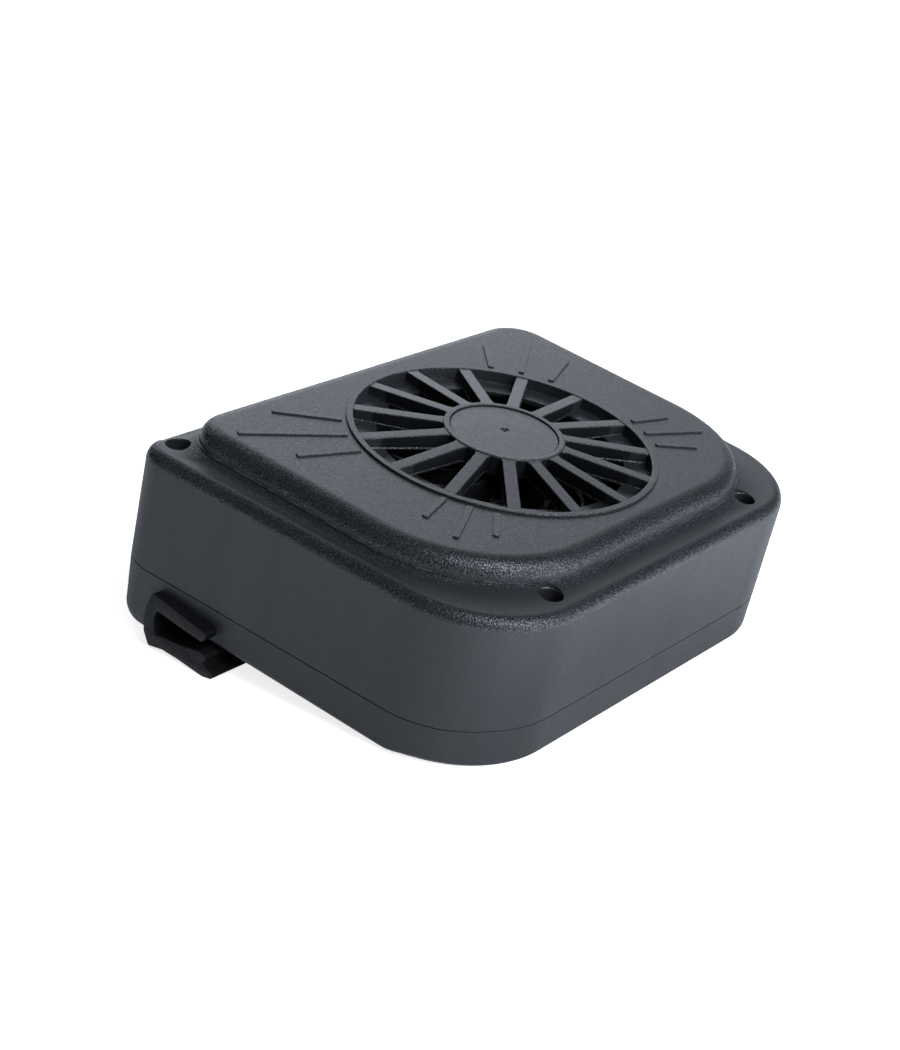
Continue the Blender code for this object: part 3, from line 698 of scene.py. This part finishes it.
# ---------------------------------------------------------------------------
# impeller
# ---------------------------------------------------------------------------
# disc and hub: radius, z
WHEEL = [
    (SHAFT_R + 0.3, 28.7), (5.0, 28.7), (5.0, 29.2), (IMPELLER_R - 0.2, 29.2), (IMPELLER_R, 29.4),
    (IMPELLER_R, 30.2), (IMPELLER_R - 0.2, 30.4), (9.0, 30.5), (7.6, 30.8), (6.6, 31.6),
    (6.1, 33.0), (5.4, 37.4), (5.1, 38.2), (4.5, 38.6), (2.0, 38.6), (1.6, 38.4),
    (SHAFT_R + 0.3, 38.4),
]
BLADE_STEPS, BLADE_START_R, BLADE_SWEEP = 16, 3.6, 34.0
BLADE_FOOT_Z, BLADE_IN_Z, BLADE_OUT_Z = 29.7, 37.4, 40.6
BLADE_W, BLADE_TOP_W = 1.3, 0.8


def wall_from(points, thickness):
    """Outline of a wall of even thickness along a line of points."""
    left, right = [], []
    for i, (x, y) in enumerate(points):
        a = points[max(i - 1, 0)]
        b = points[min(i + 1, len(points) - 1)]
        d = Vector((b[0] - a[0], b[1] - a[1])).normalized()
        dx, dy = -d.y * thickness / 2, d.x * thickness / 2
        left.append((x + dx, y + dy))
        right.append((x - dx, y - dy))
    return left + right[::-1]


def blade_top(x, y, below):
    """Point near the top of a blade, which climbs away from the hub."""
    s = clamp((math.hypot(x, y) - 5.6) / 3.0)
    s = s * s * (3 - 2 * s)
    return x, y, BLADE_IN_Z + (BLADE_OUT_Z - BLADE_IN_Z) * s - below


def blades(bm):
    for k in range(BLADES):
        line = []
        for i in range(BLADE_STEPS + 1):
            t = i / BLADE_STEPS
            r = BLADE_START_R + (IMPELLER_R - 0.5 - BLADE_START_R) * t
            a = 2 * math.pi * k / BLADES - math.radians(BLADE_SWEEP) * t * t
            line.append((r * math.cos(a), r * math.sin(a)))
        outline = wall_from(line, BLADE_W)
        loft(bm, [
            flat(outline, BLADE_FOOT_Z),
            [blade_top(x, y, 0.3) for x, y in outline],
            [blade_top(x, y, 0.0) for x, y in wall_from(line, BLADE_TOP_W)],
        ])


def impeller():
    return carved("impeller_wheel", lambda bm: turned(bm, WHEEL, 96),
                  [("blades", "UNION", blades)], 40.0)


# ---------------------------------------------------------------------------
# node helpers; in materials, lengths are metres
# ---------------------------------------------------------------------------
class Nodes:
    """Adds nodes to a tree; an input may be a number, a tuple or a socket."""

    def __init__(self, tree):
        self.tree = tree

    def link(self, source, socket):
        self.tree.links.new(source, socket)

    def feed(self, socket, value):
        if isinstance(value, (int, float)):
            socket.default_value = value
        elif isinstance(value, tuple):
            socket.default_value = (*value, 1.0) if socket.type == "RGBA" else value
        else:
            self.link(value, socket)

    def add(self, kind, inputs={}, **settings):
        node = self.tree.nodes.new("ShaderNode" + kind)
        for key, value in settings.items():
            setattr(node, key, value)
        for key, value in inputs.items():
            self.feed(node.inputs[key], value)
        return node

    def math(self, operation, a, b=0.0):
        return self.add("Math", {0: a, 1: b}, operation=operation).outputs[0]

    def times(self, a, b):
        return self.math("MULTIPLY", a, b)

    def plus(self, a, b):
        return self.math("ADD", a, b)

    def minus(self, a, b):
        return self.math("SUBTRACT", a, b)

    def mix(self, factor, a, b, blend="MIX"):
        inputs = {0: factor, 6: a, 7: b}
        return self.add("Mix", inputs, data_type="RGBA", blend_type=blend).outputs[2]

    def mix_shader(self, factor, a, b):
        return self.add("MixShader", {0: factor, 1: a, 2: b}).outputs[0]

    def remap(self, value, source, target=(0.0, 1.0), **settings):
        inputs = {"Value": value, "From Min": source[0], "From Max": source[1],
                  "To Min": target[0], "To Max": target[1]}
        return self.add("MapRange", inputs, **settings).outputs["Result"]

    def ramp(self, value, stops):
        """Colour ramp through (position, grey) stops."""
        node = self.add("ValToRGB", {"Fac": value})
        elements = node.color_ramp.elements
        while len(elements) < len(stops):
            elements.new(0.5)
        for element, (position, colour) in zip(elements, stops):
            element.position = position
            colour = colour if isinstance(colour, tuple) else (colour,) * 3
            element.color = (*colour, 1.0)
        return node.outputs["Color"]

    def xyz(self, vector):
        return tuple(self.add("SeparateXYZ", {0: vector}).outputs)

    def lobes(self, direction, lights):
        """Sum of round glows: strength * max(0, direction . towards) ** tightness."""
        total = None
        for azimuth, elevation, tightness, strength in lights:
            a, e = math.radians(azimuth), math.radians(elevation)
            towards = (math.cos(a) * math.cos(e), math.sin(a) * math.cos(e), math.sin(e))
            dot = self.add("VectorMath", {0: direction, 1: towards}, operation="DOT_PRODUCT")
            ahead = self.math("MAXIMUM", dot.outputs["Value"], 0.0)
            inputs = {0: self.math("POWER", ahead, tightness), 1: strength, 2: 0.0}
            glow = self.add("Math", inputs, operation="MULTIPLY_ADD")
            if total is not None:
                self.link(total, glow.inputs[2])
            total = glow.outputs[0]
        return total


class Material(Nodes):
    INPUTS = {
        "color": "Base Color", "rough": "Roughness", "metal": "Metallic",
        "spec": "Specular IOR Level", "normal": "Normal", "coat": "Coat Weight",
        "coat_rough": "Coat Roughness", "aniso": "Anisotropic",
        "trans": "Transmission Weight", "ior": "IOR",
    }

    def __init__(self, name):
        self.mat = bpy.data.materials.new(name)
        self.mat.use_nodes = True
        super().__init__(self.mat.node_tree)
        self.bsdf = self.tree.nodes["Principled BSDF"]
        self.coord = self.add("TexCoord").outputs["Object"]

    def noise(self, scale, detail=3.0, rough=0.55, distortion=0.0, vector=None):
        return self.add("TexNoise", {
            "Scale": scale, "Detail": detail, "Roughness": rough, "Distortion": distortion,
            "Vector": vector or self.coord}).outputs["Fac"]

    def voronoi(self, scale, feature="F1", out="Distance"):
        inputs = {"Scale": scale, "Vector": self.coord}
        return self.add("TexVoronoi", inputs, feature=feature).outputs[out]

    def scaled(self, scale):
        return self.add("Mapping", {"Scale": scale, "Vector": self.coord}).outputs["Vector"]

    def geometry(self, out):
        return self.add("NewGeometry").outputs[out]

    def bump(self, height, strength, distance, normal=None):
        inputs = {"Strength": strength, "Distance": distance, "Height": height}
        if normal is not None:
            inputs["Normal"] = normal
        return self.add("Bump", inputs).outputs["Normal"]

    def set(self, **values):
        for key, value in values.items():
            self.feed(self.bsdf.inputs[self.INPUTS[key]], value)
        return self.mat

    def surface(self, shader):
        self.link(shader, self.tree.nodes["Material Output"].inputs["Surface"])
        return self.mat


# ---------------------------------------------------------------------------
# materials
# ---------------------------------------------------------------------------
RISING = [(0.0, 0.0), (1.0, 1.0)]
FALLING = [(0.0, 1.0), (1.0, 0.0)]


def wear(mat, base, light):
    """Lighter in patches along convex edges, where handling rubs the grain off."""
    edge = mat.remap(mat.geometry("Pointiness"), (0.52, 0.60))
    patch = mat.ramp(mat.noise(scale=60.0, detail=4.0), [(0.35, 0.25), (0.65, 1.0)])
    return mat.mix(mat.times(edge, patch), base, light)


def case_plastic(name):
    """Dark grey moulded ABS: coarse sparkling grain on the rounded shoulders,
    fine grain on the flats, smooth walls with faint flow marks."""
    mat = Material(name)
    ramp, remap, mix, noise = mat.ramp, mat.remap, mat.mix, mat.noise
    times, plus, minus = mat.times, mat.plus, mat.minus

    # masks: level is 1 on faces square to z and 0 on upright walls
    level = mat.math("ABSOLUTE", mat.xyz(mat.geometry("True Normal"))[2])
    x, y, z = mat.xyz(mat.coord)
    high = ramp(remap(z, (0.034, 0.0385)), RISING)
    slope = times(ramp(level, [(0.05, 0.0), (0.22, 1.0), (0.93, 1.0), (0.99, 0.30)]), high)
    radius = mat.math("SQRT", plus(times(x, x), times(y, y)))
    grille = ramp(remap(radius, (0.0380, 0.0388)), FALLING)
    shelf = ramp(remap(z, (0.0410, 0.0416)), FALLING)
    flat_top = ramp(level, [(0.93, 0.0), (0.99, 1.0)])
    side = ramp(level, [(0.06, 1.0), (0.3, 0.0)])
    rich = times(slope, minus(1.0, times(shelf, flat_top)))

    # leather-like grain: rounded pimples and crumbs
    pimple = mat.voronoi(scale=3200.0, feature="SMOOTH_F1")
    crumb = noise(scale=2900.0, detail=0.0, rough=0.5)
    grain = plus(times(pimple, -0.7), times(crumb, 1.0))

    # broad clouds of two greys, with the grain's tone strongest on the shoulders
    broad = noise(scale=18.0, detail=3.0, rough=0.5)
    colour = mix(ramp(broad, [(0.3, 0.0), (0.7, 1.0)]),
                 (0.0225, 0.0240, 0.0268), (0.0275, 0.0292, 0.0325))
    tone = ramp(crumb, [(0.32, 0.60), (0.50, 1.0), (0.62, 1.4), (0.74, 1.9)])
    tone_share = plus(times(rich, 0.62), 0.22)
    colour = mix(tone_share, colour, mix(1.0, colour, tone, "MULTIPLY"))
    # the sides of the spokes lie in the shade of the bore
    bore = ramp(remap(radius, (0.0335, 0.0345)), FALLING)
    inner_side = times(bore, ramp(level, [(0.3, 1.0), (0.75, 0.0)]))
    colour = mix(times(inner_side, 0.65), colour, (0.006, 0.0062, 0.0066))
    # pale line round the foot of the shoulder: partly the mould flash's own torn edge, partly a
    # painted highlight along its bead
    pale_flash_and_highlight = ramp(remap(z, (0.04140, 0.04170)), [(0.0, 0.0), (0.25, 1.0), (0.75, 1.0), (1.0, 0.0)])
    torn = ramp(noise(scale=240.0, detail=3.0), [(0.42, 0.0), (0.62, 1.0)])
    colour = mix(times(times(pale_flash_and_highlight, torn), 0.7), colour, (0.12, 0.122, 0.126))
    colour = wear(mat, colour, light=(0.055, 0.057, 0.061))
    # faint upright flow streaks on the walls
    streak = noise(scale=90.0, detail=2.0, rough=0.5, vector=mat.scaled((1.0, 1.0, 0.06)))
    streak = ramp(streak, [(0.38, 0.90), (0.64, 1.10)])
    colour = mix(side, colour, mix(1.0, colour, streak, "MULTIPLY"))

    # roughness: mottled, glossier on the shoulders, duller on the walls
    rough = remap(noise(scale=900.0, detail=2.0), (0.3, 0.7), (0.29, 0.36))
    rough = plus(rough, remap(broad, (0.3, 0.7), (-0.02, 0.03)))
    rough = minus(rough, times(rich, 0.07))
    rough = plus(rough, times(side, 0.10))

    # sparkle: each grain shines more or less than the next; flat tops outside
    # the grille and the shaded spoke sides shine less
    gleam = ramp(crumb, [(0.30, 0.10), (0.50, 0.38), (0.68, 0.95)])
    spec = plus(times(rich, gleam), times(minus(1.0, rich), 0.5))
    plain_top = times(flat_top, minus(1.0, grille))
    spec = times(spec, minus(1.0, times(plain_top, 0.30)))
    spec = times(spec, minus(1.0, times(inner_side, 0.7)))

    # relief: grain, fine grain over all, and a broad ripple on the walls
    strength = minus(plus(times(rich, 0.70), 0.20), times(side, 0.05))
    normal = mat.bump(grain, strength, distance=0.00011)
    fine = noise(scale=4200.0, detail=2.0, rough=0.6)
    normal = mat.bump(fine, strength=0.22, distance=0.00005, normal=normal)
    ripple = noise(scale=130.0, detail=2.0, rough=0.5, vector=mat.scaled((1.0, 1.0, 0.25)))
    normal = mat.bump(ripple, times(side, 0.22), distance=0.0006, normal=normal)
    return mat.set(color=colour, rough=rough, normal=normal, spec=spec, ior=1.5)


def rubber(name):
    """Dusty black rubber with lines drawn along x."""
    mat = Material(name)
    fine = mat.noise(scale=2100.0, detail=2.0, rough=0.6)
    lines = mat.noise(scale=500.0, detail=2.0, rough=0.5, vector=mat.scaled((0.02, 1.0, 1.0)))
    clouds = mat.ramp(mat.noise(scale=40.0, detail=4.0), [(0.35, 0.0), (0.7, 1.0)])
    colour = mat.mix(clouds, (0.0050, 0.0051, 0.0054), (0.0095, 0.0097, 0.0100))
    dust = mat.ramp(mat.noise(scale=1500.0, detail=3.0, rough=0.7), [(0.56, 0.0), (0.70, 1.0)])
    colour = mat.mix(mat.times(dust, 0.15), colour, (0.035, 0.035, 0.035))
    # knife-cut ends are matt and paler than the drawn length
    normal_x = mat.xyz(mat.geometry("True Normal"))[0]
    cut = mat.ramp(mat.math("ABSOLUTE", normal_x), [(0.55, 0.0), (0.9, 1.0)])
    crumb = mat.ramp(mat.noise(scale=1500.0, detail=2.0, rough=0.6), [(0.35, 0.7), (0.65, 1.35)])
    cut_colour = mat.mix(1.0, (0.0200, 0.0204, 0.0212), crumb, "MULTIPLY")
    normal = mat.bump(lines, strength=0.25, distance=0.00008)
    return mat.set(
        color=mat.mix(cut, colour, cut_colour), rough=mat.remap(fine, (0.3, 0.7), (0.56, 0.70)),
        normal=mat.bump(fine, strength=0.45, distance=0.00012, normal=normal),
        ior=1.4, spec=mat.remap(cut, (0.0, 1.0), (0.10, 0.32)))


def plastic(name, dark, light, rough, grain=1500.0, relief=0.12):
    mat = Material(name)
    clouds = mat.ramp(mat.noise(scale=50.0, detail=4.0), [(0.35, 0.0), (0.68, 1.0)])
    worn = tuple(min(1.0, c * 1.8 + 0.01) for c in light)
    return mat.set(
        color=wear(mat, mat.mix(clouds, dark, light), worn),
        rough=mat.remap(mat.noise(scale=300.0), (0.3, 0.7), rough),
        normal=mat.bump(mat.noise(scale=grain), relief, distance=0.00008))


def metal(name, clean, stained, rough, brushed=(1.0, 1.0, 0.05), scratch=0.18):
    """Brushed metal; the brushed scale is least along the strokes."""
    mat = Material(name)
    lines = mat.noise(scale=2500.0, detail=3.0, rough=0.6, vector=mat.scaled(brushed))
    stain = mat.ramp(mat.noise(scale=160.0, detail=5.0, rough=0.6), [(0.35, 0.0), (0.7, 1.0)])
    return mat.set(
        color=mat.mix(stain, clean, stained), metal=1.0,
        rough=mat.remap(lines, (0.25, 0.75), rough),
        normal=mat.bump(lines, scratch, distance=0.00004), aniso=0.3)


def clear_sheet(name):
    """Clear smeared sheet with fine scratches along y."""
    mat = Material(name)
    smear = mat.noise(scale=35.0, detail=5.0, rough=0.65, distortion=0.6)
    scratch = mat.noise(scale=900.0, detail=2.0, rough=0.5, vector=mat.scaled((1.0, 0.03, 1.0)))
    mat.set(color=(0.90, 0.94, 0.96), trans=1.0, ior=1.49,
            rough=mat.remap(smear, (0.35, 0.75), (0.015, 0.10)),
            normal=mat.bump(scratch, strength=0.05, distance=0.00002))
    # clear to light rays, so that the cells behind it are lit
    rays = mat.add("LightPath").outputs
    clear = mat.add("BsdfTransparent", {"Color": (0.86, 0.90, 0.92)}).outputs[0]
    light_ray = mat.math("MAXIMUM", rays["Is Shadow Ray"], rays["Is Diffuse Ray"])
    return mat.surface(mat.mix_shader(light_ray, mat.bsdf.outputs[0], clear))


def silicon(name):
    """Monocrystalline cell: deep blue with a soft sheen and fine finger lines."""
    finger_pitch = 1.6 * MM
    mat = Material(name)
    y = mat.xyz(mat.coord)[1]
    grains = mat.voronoi(scale=320.0, out="Color")
    clouds = mat.ramp(mat.noise(scale=30.0), [(0.35, 0.0), (0.65, 1.0)])
    tone = mat.mix(clouds, (0.006, 0.012, 0.045), (0.012, 0.028, 0.095))
    tone = mat.mix(0.10, tone, grains, "OVERLAY")
    saw = mat.math("FRACT", mat.times(y, 1.0 / finger_pitch))
    off_centre = mat.math("ABSOLUTE", mat.minus(saw, 0.5))
    finger = mat.math("LESS_THAN", off_centre, 0.055)
    return mat.set(
        color=mat.mix(finger, tone, (0.42, 0.44, 0.46)),
        rough=mat.remap(mat.noise(scale=400.0), (0.3, 0.7), (0.16, 0.28)),
        metal=mat.times(finger, 0.7),
        normal=mat.bump(finger, strength=0.15, distance=0.00003), coat=0.5, coat_rough=0.06)


# glows of the sky and of the floor: azimuth, elevation, tightness, strength
TINT = (0.93, 1.0, 1.10)
SKY_LIGHTS = [
    (45, 18, 10, 1.95), (225, 18, 10, 0.06), (270, 18, 10, 0.50),
    (290, 22, 18, 3.5), (202, 52, 12, 0.15), (262, 55, 24, 8.4),
]
FLOOR_LIGHTS = [(-90, 0, 2, 1.50), (-45, 0, 2, 0.06), (45, 0, 2, 0.15), (180, 0, 2, 0.16)]
FLOOR_SEEN = 0.80  # glow seen by the camera


def floor_material():
    """White table. Its own glow stands for the lit table round the fan; it is
    clear from below and to shadow rays, so that the underside can be seen."""
    mat = Material("floor_white")
    white = mat.ramp(mat.noise(scale=14.0, detail=4.0), [(0.0, 0.93), (1.0, 0.96)])
    mat.set(color=white, rough=0.85, spec=0.1)
    place = mat.geometry("Position")
    length = mat.add("VectorMath", {0: place}, operation="LENGTH").outputs["Value"]
    # the glow fades to nothing within 7 to 16 cm of the centre: painted shadow of the fan on the
    # table
    away = mat.remap(length, (0.07, 0.16), interpolation_type="SMOOTHSTEP")
    towards = mat.add("VectorMath", {0: place}, operation="NORMALIZE").outputs[0]
    strength = mat.times(mat.lobes(towards, FLOOR_LIGHTS), away)
    glow = mat.add("Emission", {"Color": TINT, "Strength": strength}).outputs[0]
    seen = mat.add("Emission", {"Strength": FLOOR_SEEN}).outputs[0]
    rays = mat.add("LightPath").outputs
    shine = mat.mix_shader(rays["Is Camera Ray"], glow, seen)
    lit = mat.add("AddShader", {0: mat.bsdf.outputs[0], 1: shine}).outputs[0]
    clear = mat.add("BsdfTransparent").outputs[0]
    through = mat.math("MAXIMUM", mat.geometry("Backfacing"), rays["Is Shadow Ray"])
    return mat.surface(mat.mix_shader(through, lit, clear))


M_CASE = case_plastic("abs_case")
M_RUBBER = rubber("channel_rubber")
M_SHEET = clear_sheet("panel_sheet")
M_CELL = silicon("cell_silicon")
M_BACKING = plastic("panel_backing", dark=(0.62, 0.64, 0.66), light=(0.74, 0.75, 0.77),
                    rough=(0.35, 0.5), grain=900.0, relief=0.06)
M_BAR = metal("bus_bar_tin", clean=(0.62, 0.63, 0.64), stained=(0.48, 0.49, 0.50),
              rough=(0.25, 0.42))
M_INNER = plastic("inner_moulding", dark=(0.006, 0.006, 0.0065), light=(0.011, 0.011, 0.012),
                  rough=(0.40, 0.55), grain=1700.0, relief=0.22)
M_WHEEL = plastic("impeller_moulding", dark=(0.011, 0.011, 0.012), light=(0.018, 0.018, 0.019),
                  rough=(0.26, 0.38), grain=1100.0, relief=0.10)
M_STEEL = metal("plated_steel", clean=(0.52, 0.53, 0.54), stained=(0.38, 0.38, 0.37),
                rough=(0.22, 0.40))
M_CAN = metal("motor_can_steel", clean=(0.60, 0.60, 0.58), stained=(0.45, 0.44, 0.41),
              rough=(0.26, 0.42))
M_BRASS = metal("brass", clean=(0.66, 0.47, 0.19), stained=(0.45, 0.29, 0.11), rough=(0.22, 0.40))
M_BUSH = metal("bronze_bush", clean=(0.55, 0.36, 0.18), stained=(0.36, 0.22, 0.10),
               rough=(0.35, 0.55))
M_COPPER = metal("enamelled_copper", clean=(0.62, 0.25, 0.10), stained=(0.40, 0.13, 0.05),
                 rough=(0.20, 0.38), brushed=(0.15, 0.15, 1.0), scratch=0.6)
M_MAGNET = plastic("ferrite", dark=(0.028, 0.027, 0.026), light=(0.050, 0.048, 0.045),
                   rough=(0.60, 0.80), grain=1300.0, relief=0.5)
M_CAP = plastic("end_cap_nylon", dark=(0.62, 0.60, 0.53), light=(0.72, 0.70, 0.64),
                rough=(0.40, 0.55), grain=1400.0)
M_RED = plastic("wire_red_pvc", dark=(0.36, 0.012, 0.010), light=(0.48, 0.022, 0.016),
                rough=(0.34, 0.46), relief=0.08)
M_BLACK = plastic("wire_black_pvc", dark=(0.012, 0.012, 0.013), light=(0.022, 0.022, 0.024),
                  rough=(0.34, 0.46), relief=0.08)


# ---------------------------------------------------------------------------
# assemble
# ---------------------------------------------------------------------------
def fit(obj, material, part, body="case"):
    """Give obj its material and let it stand in for a CAD part."""
    obj.data.materials.clear()
    obj.data.materials.append(material)
    for polygon in obj.data.polygons:
        polygon.material_index = 0
    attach(obj, body)
    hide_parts(part)


fit(front_shell(), M_CASE, "front_cover")
fit(back_shell(), M_CASE, "back_cover")
fit(made("window_channel_seal", channel, 40.0), M_RUBBER, "window_channel")
fit(made("solar_backing", backing_sheet), M_BACKING, "solar_cells")
fit(made("solar_cell_strips", cell_strips), M_CELL, "solar_cells")
fit(made("solar_bus_bars", bus_bars), M_BAR, "solar_cells")
fit(made("solar_cover_sheet", cover_sheet), M_SHEET, "solar_window")
fit(impeller(), M_WHEEL, "impeller", body="rotor")

# CAD parts that stay as they are; every screw is steel too
NODE_MATERIALS = {
    "fan_housing": M_INNER, "motor_shaft": M_STEEL, "motor_can": M_CAN, "motor_end_cap": M_CAP,
    "armature": M_COPPER, "commutator": M_BRASS, "magnet_north": M_MAGNET,
    "magnet_south": M_MAGNET, "bush_upper": M_BUSH, "bush_lower": M_BUSH,
    "terminal_positive": M_BRASS, "terminal_negative": M_BRASS, "wire_red": M_RED,
    "wire_black": M_BLACK,
}
for node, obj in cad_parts.items():
    material = M_STEEL if "screw" in node else NODE_MATERIALS.get(node)
    if material:
        for slot in obj.material_slots:
            slot.material = material
        if not obj.material_slots:
            obj.data.materials.append(material)


# ---------------------------------------------------------------------------
# floor, light, camera; metres
# ---------------------------------------------------------------------------
# The fan lies on its back, so the floor slopes down towards +y, under the hood.
FLOOR_TILT = math.atan(0.1030)
FLOOR_PLACE = (0, -0.0545, -0.0002)
FLOOR_HALF = 6.0


def add_floor():
    s = FLOOR_HALF
    mesh = bpy.data.meshes.new("floor")
    mesh.from_pydata([(-s, -s, 0), (s, -s, 0), (s, s, 0), (-s, s, 0)], [], [(0, 1, 2, 3)])
    floor = bpy.data.objects.new("floor", mesh)
    bpy.context.scene.collection.objects.link(floor)
    floor.rotation_euler = (-FLOOR_TILT, 0, 0)
    floor.location = FLOOR_PLACE
    mesh.materials.append(floor_material())


def add_under_fill():
    """Soft square light below, aimed up at the fan."""
    place, target = Vector((0.0, 0.0, -1.2)), Vector((0, 0, 0.02))
    light = bpy.data.lights.new("under_fill", "AREA")
    light.shape = "RECTANGLE"
    light.size = light.size_y = 0.9
    light.energy = 1.6
    light.spread = math.radians(46.0)
    obj = bpy.data.objects.new("under_fill", light)
    obj.location = place
    obj.rotation_euler = (target - place).to_track_quat("-Z", "Y").to_euler()
    bpy.context.scene.collection.objects.link(obj)


def add_world():
    """Soft glows above the horizon; plain white to the camera."""
    world = bpy.data.worlds.new("studio")
    bpy.context.scene.world = world
    world.use_nodes = True
    nodes = Nodes(world.node_tree)
    background = world.node_tree.nodes["Background"].inputs
    camera_ray = nodes.add("LightPath").outputs["Is Camera Ray"]
    direction = nodes.add("TexCoord").outputs["Generated"]
    sky = nodes.lobes(direction, SKY_LIGHTS)
    above = nodes.math("GREATER_THAN", nodes.xyz(direction)[2], -0.01)
    inputs = {0: camera_ray, 2: nodes.times(sky, above), 3: 1.0}
    strength = nodes.add("Mix", inputs, data_type="FLOAT").outputs[0]
    nodes.link(strength, background["Strength"])
    nodes.link(nodes.mix(camera_ray, TINT, (1.0, 1.0, 1.0)), background["Color"])


def add_camera():
    data = bpy.data.cameras.new("camera")
    data.sensor_width = 36.0
    data.lens = 67.47
    data.clip_start = 0.01
    data.clip_end = 50.0
    camera = bpy.data.objects.new("camera", data)
    right = Vector((0.622408, -0.759717, 0.188249))
    up = Vector((0.265564, 0.431228, 0.862275))
    forward = Vector((0.736263, 0.486695, -0.470153))
    pose = Matrix((right, up, -forward)).transposed().to_4x4()
    pose.translation = Vector((-0.385899, -0.244909, 0.261689))
    camera.matrix_world = pose
    scene = bpy.context.scene
    scene.collection.objects.link(camera)
    scene.camera = camera
    scene.view_settings.view_transform = "Standard"
    scene.view_settings.look = "None"


add_floor()
add_under_fill()
add_world()
add_camera()
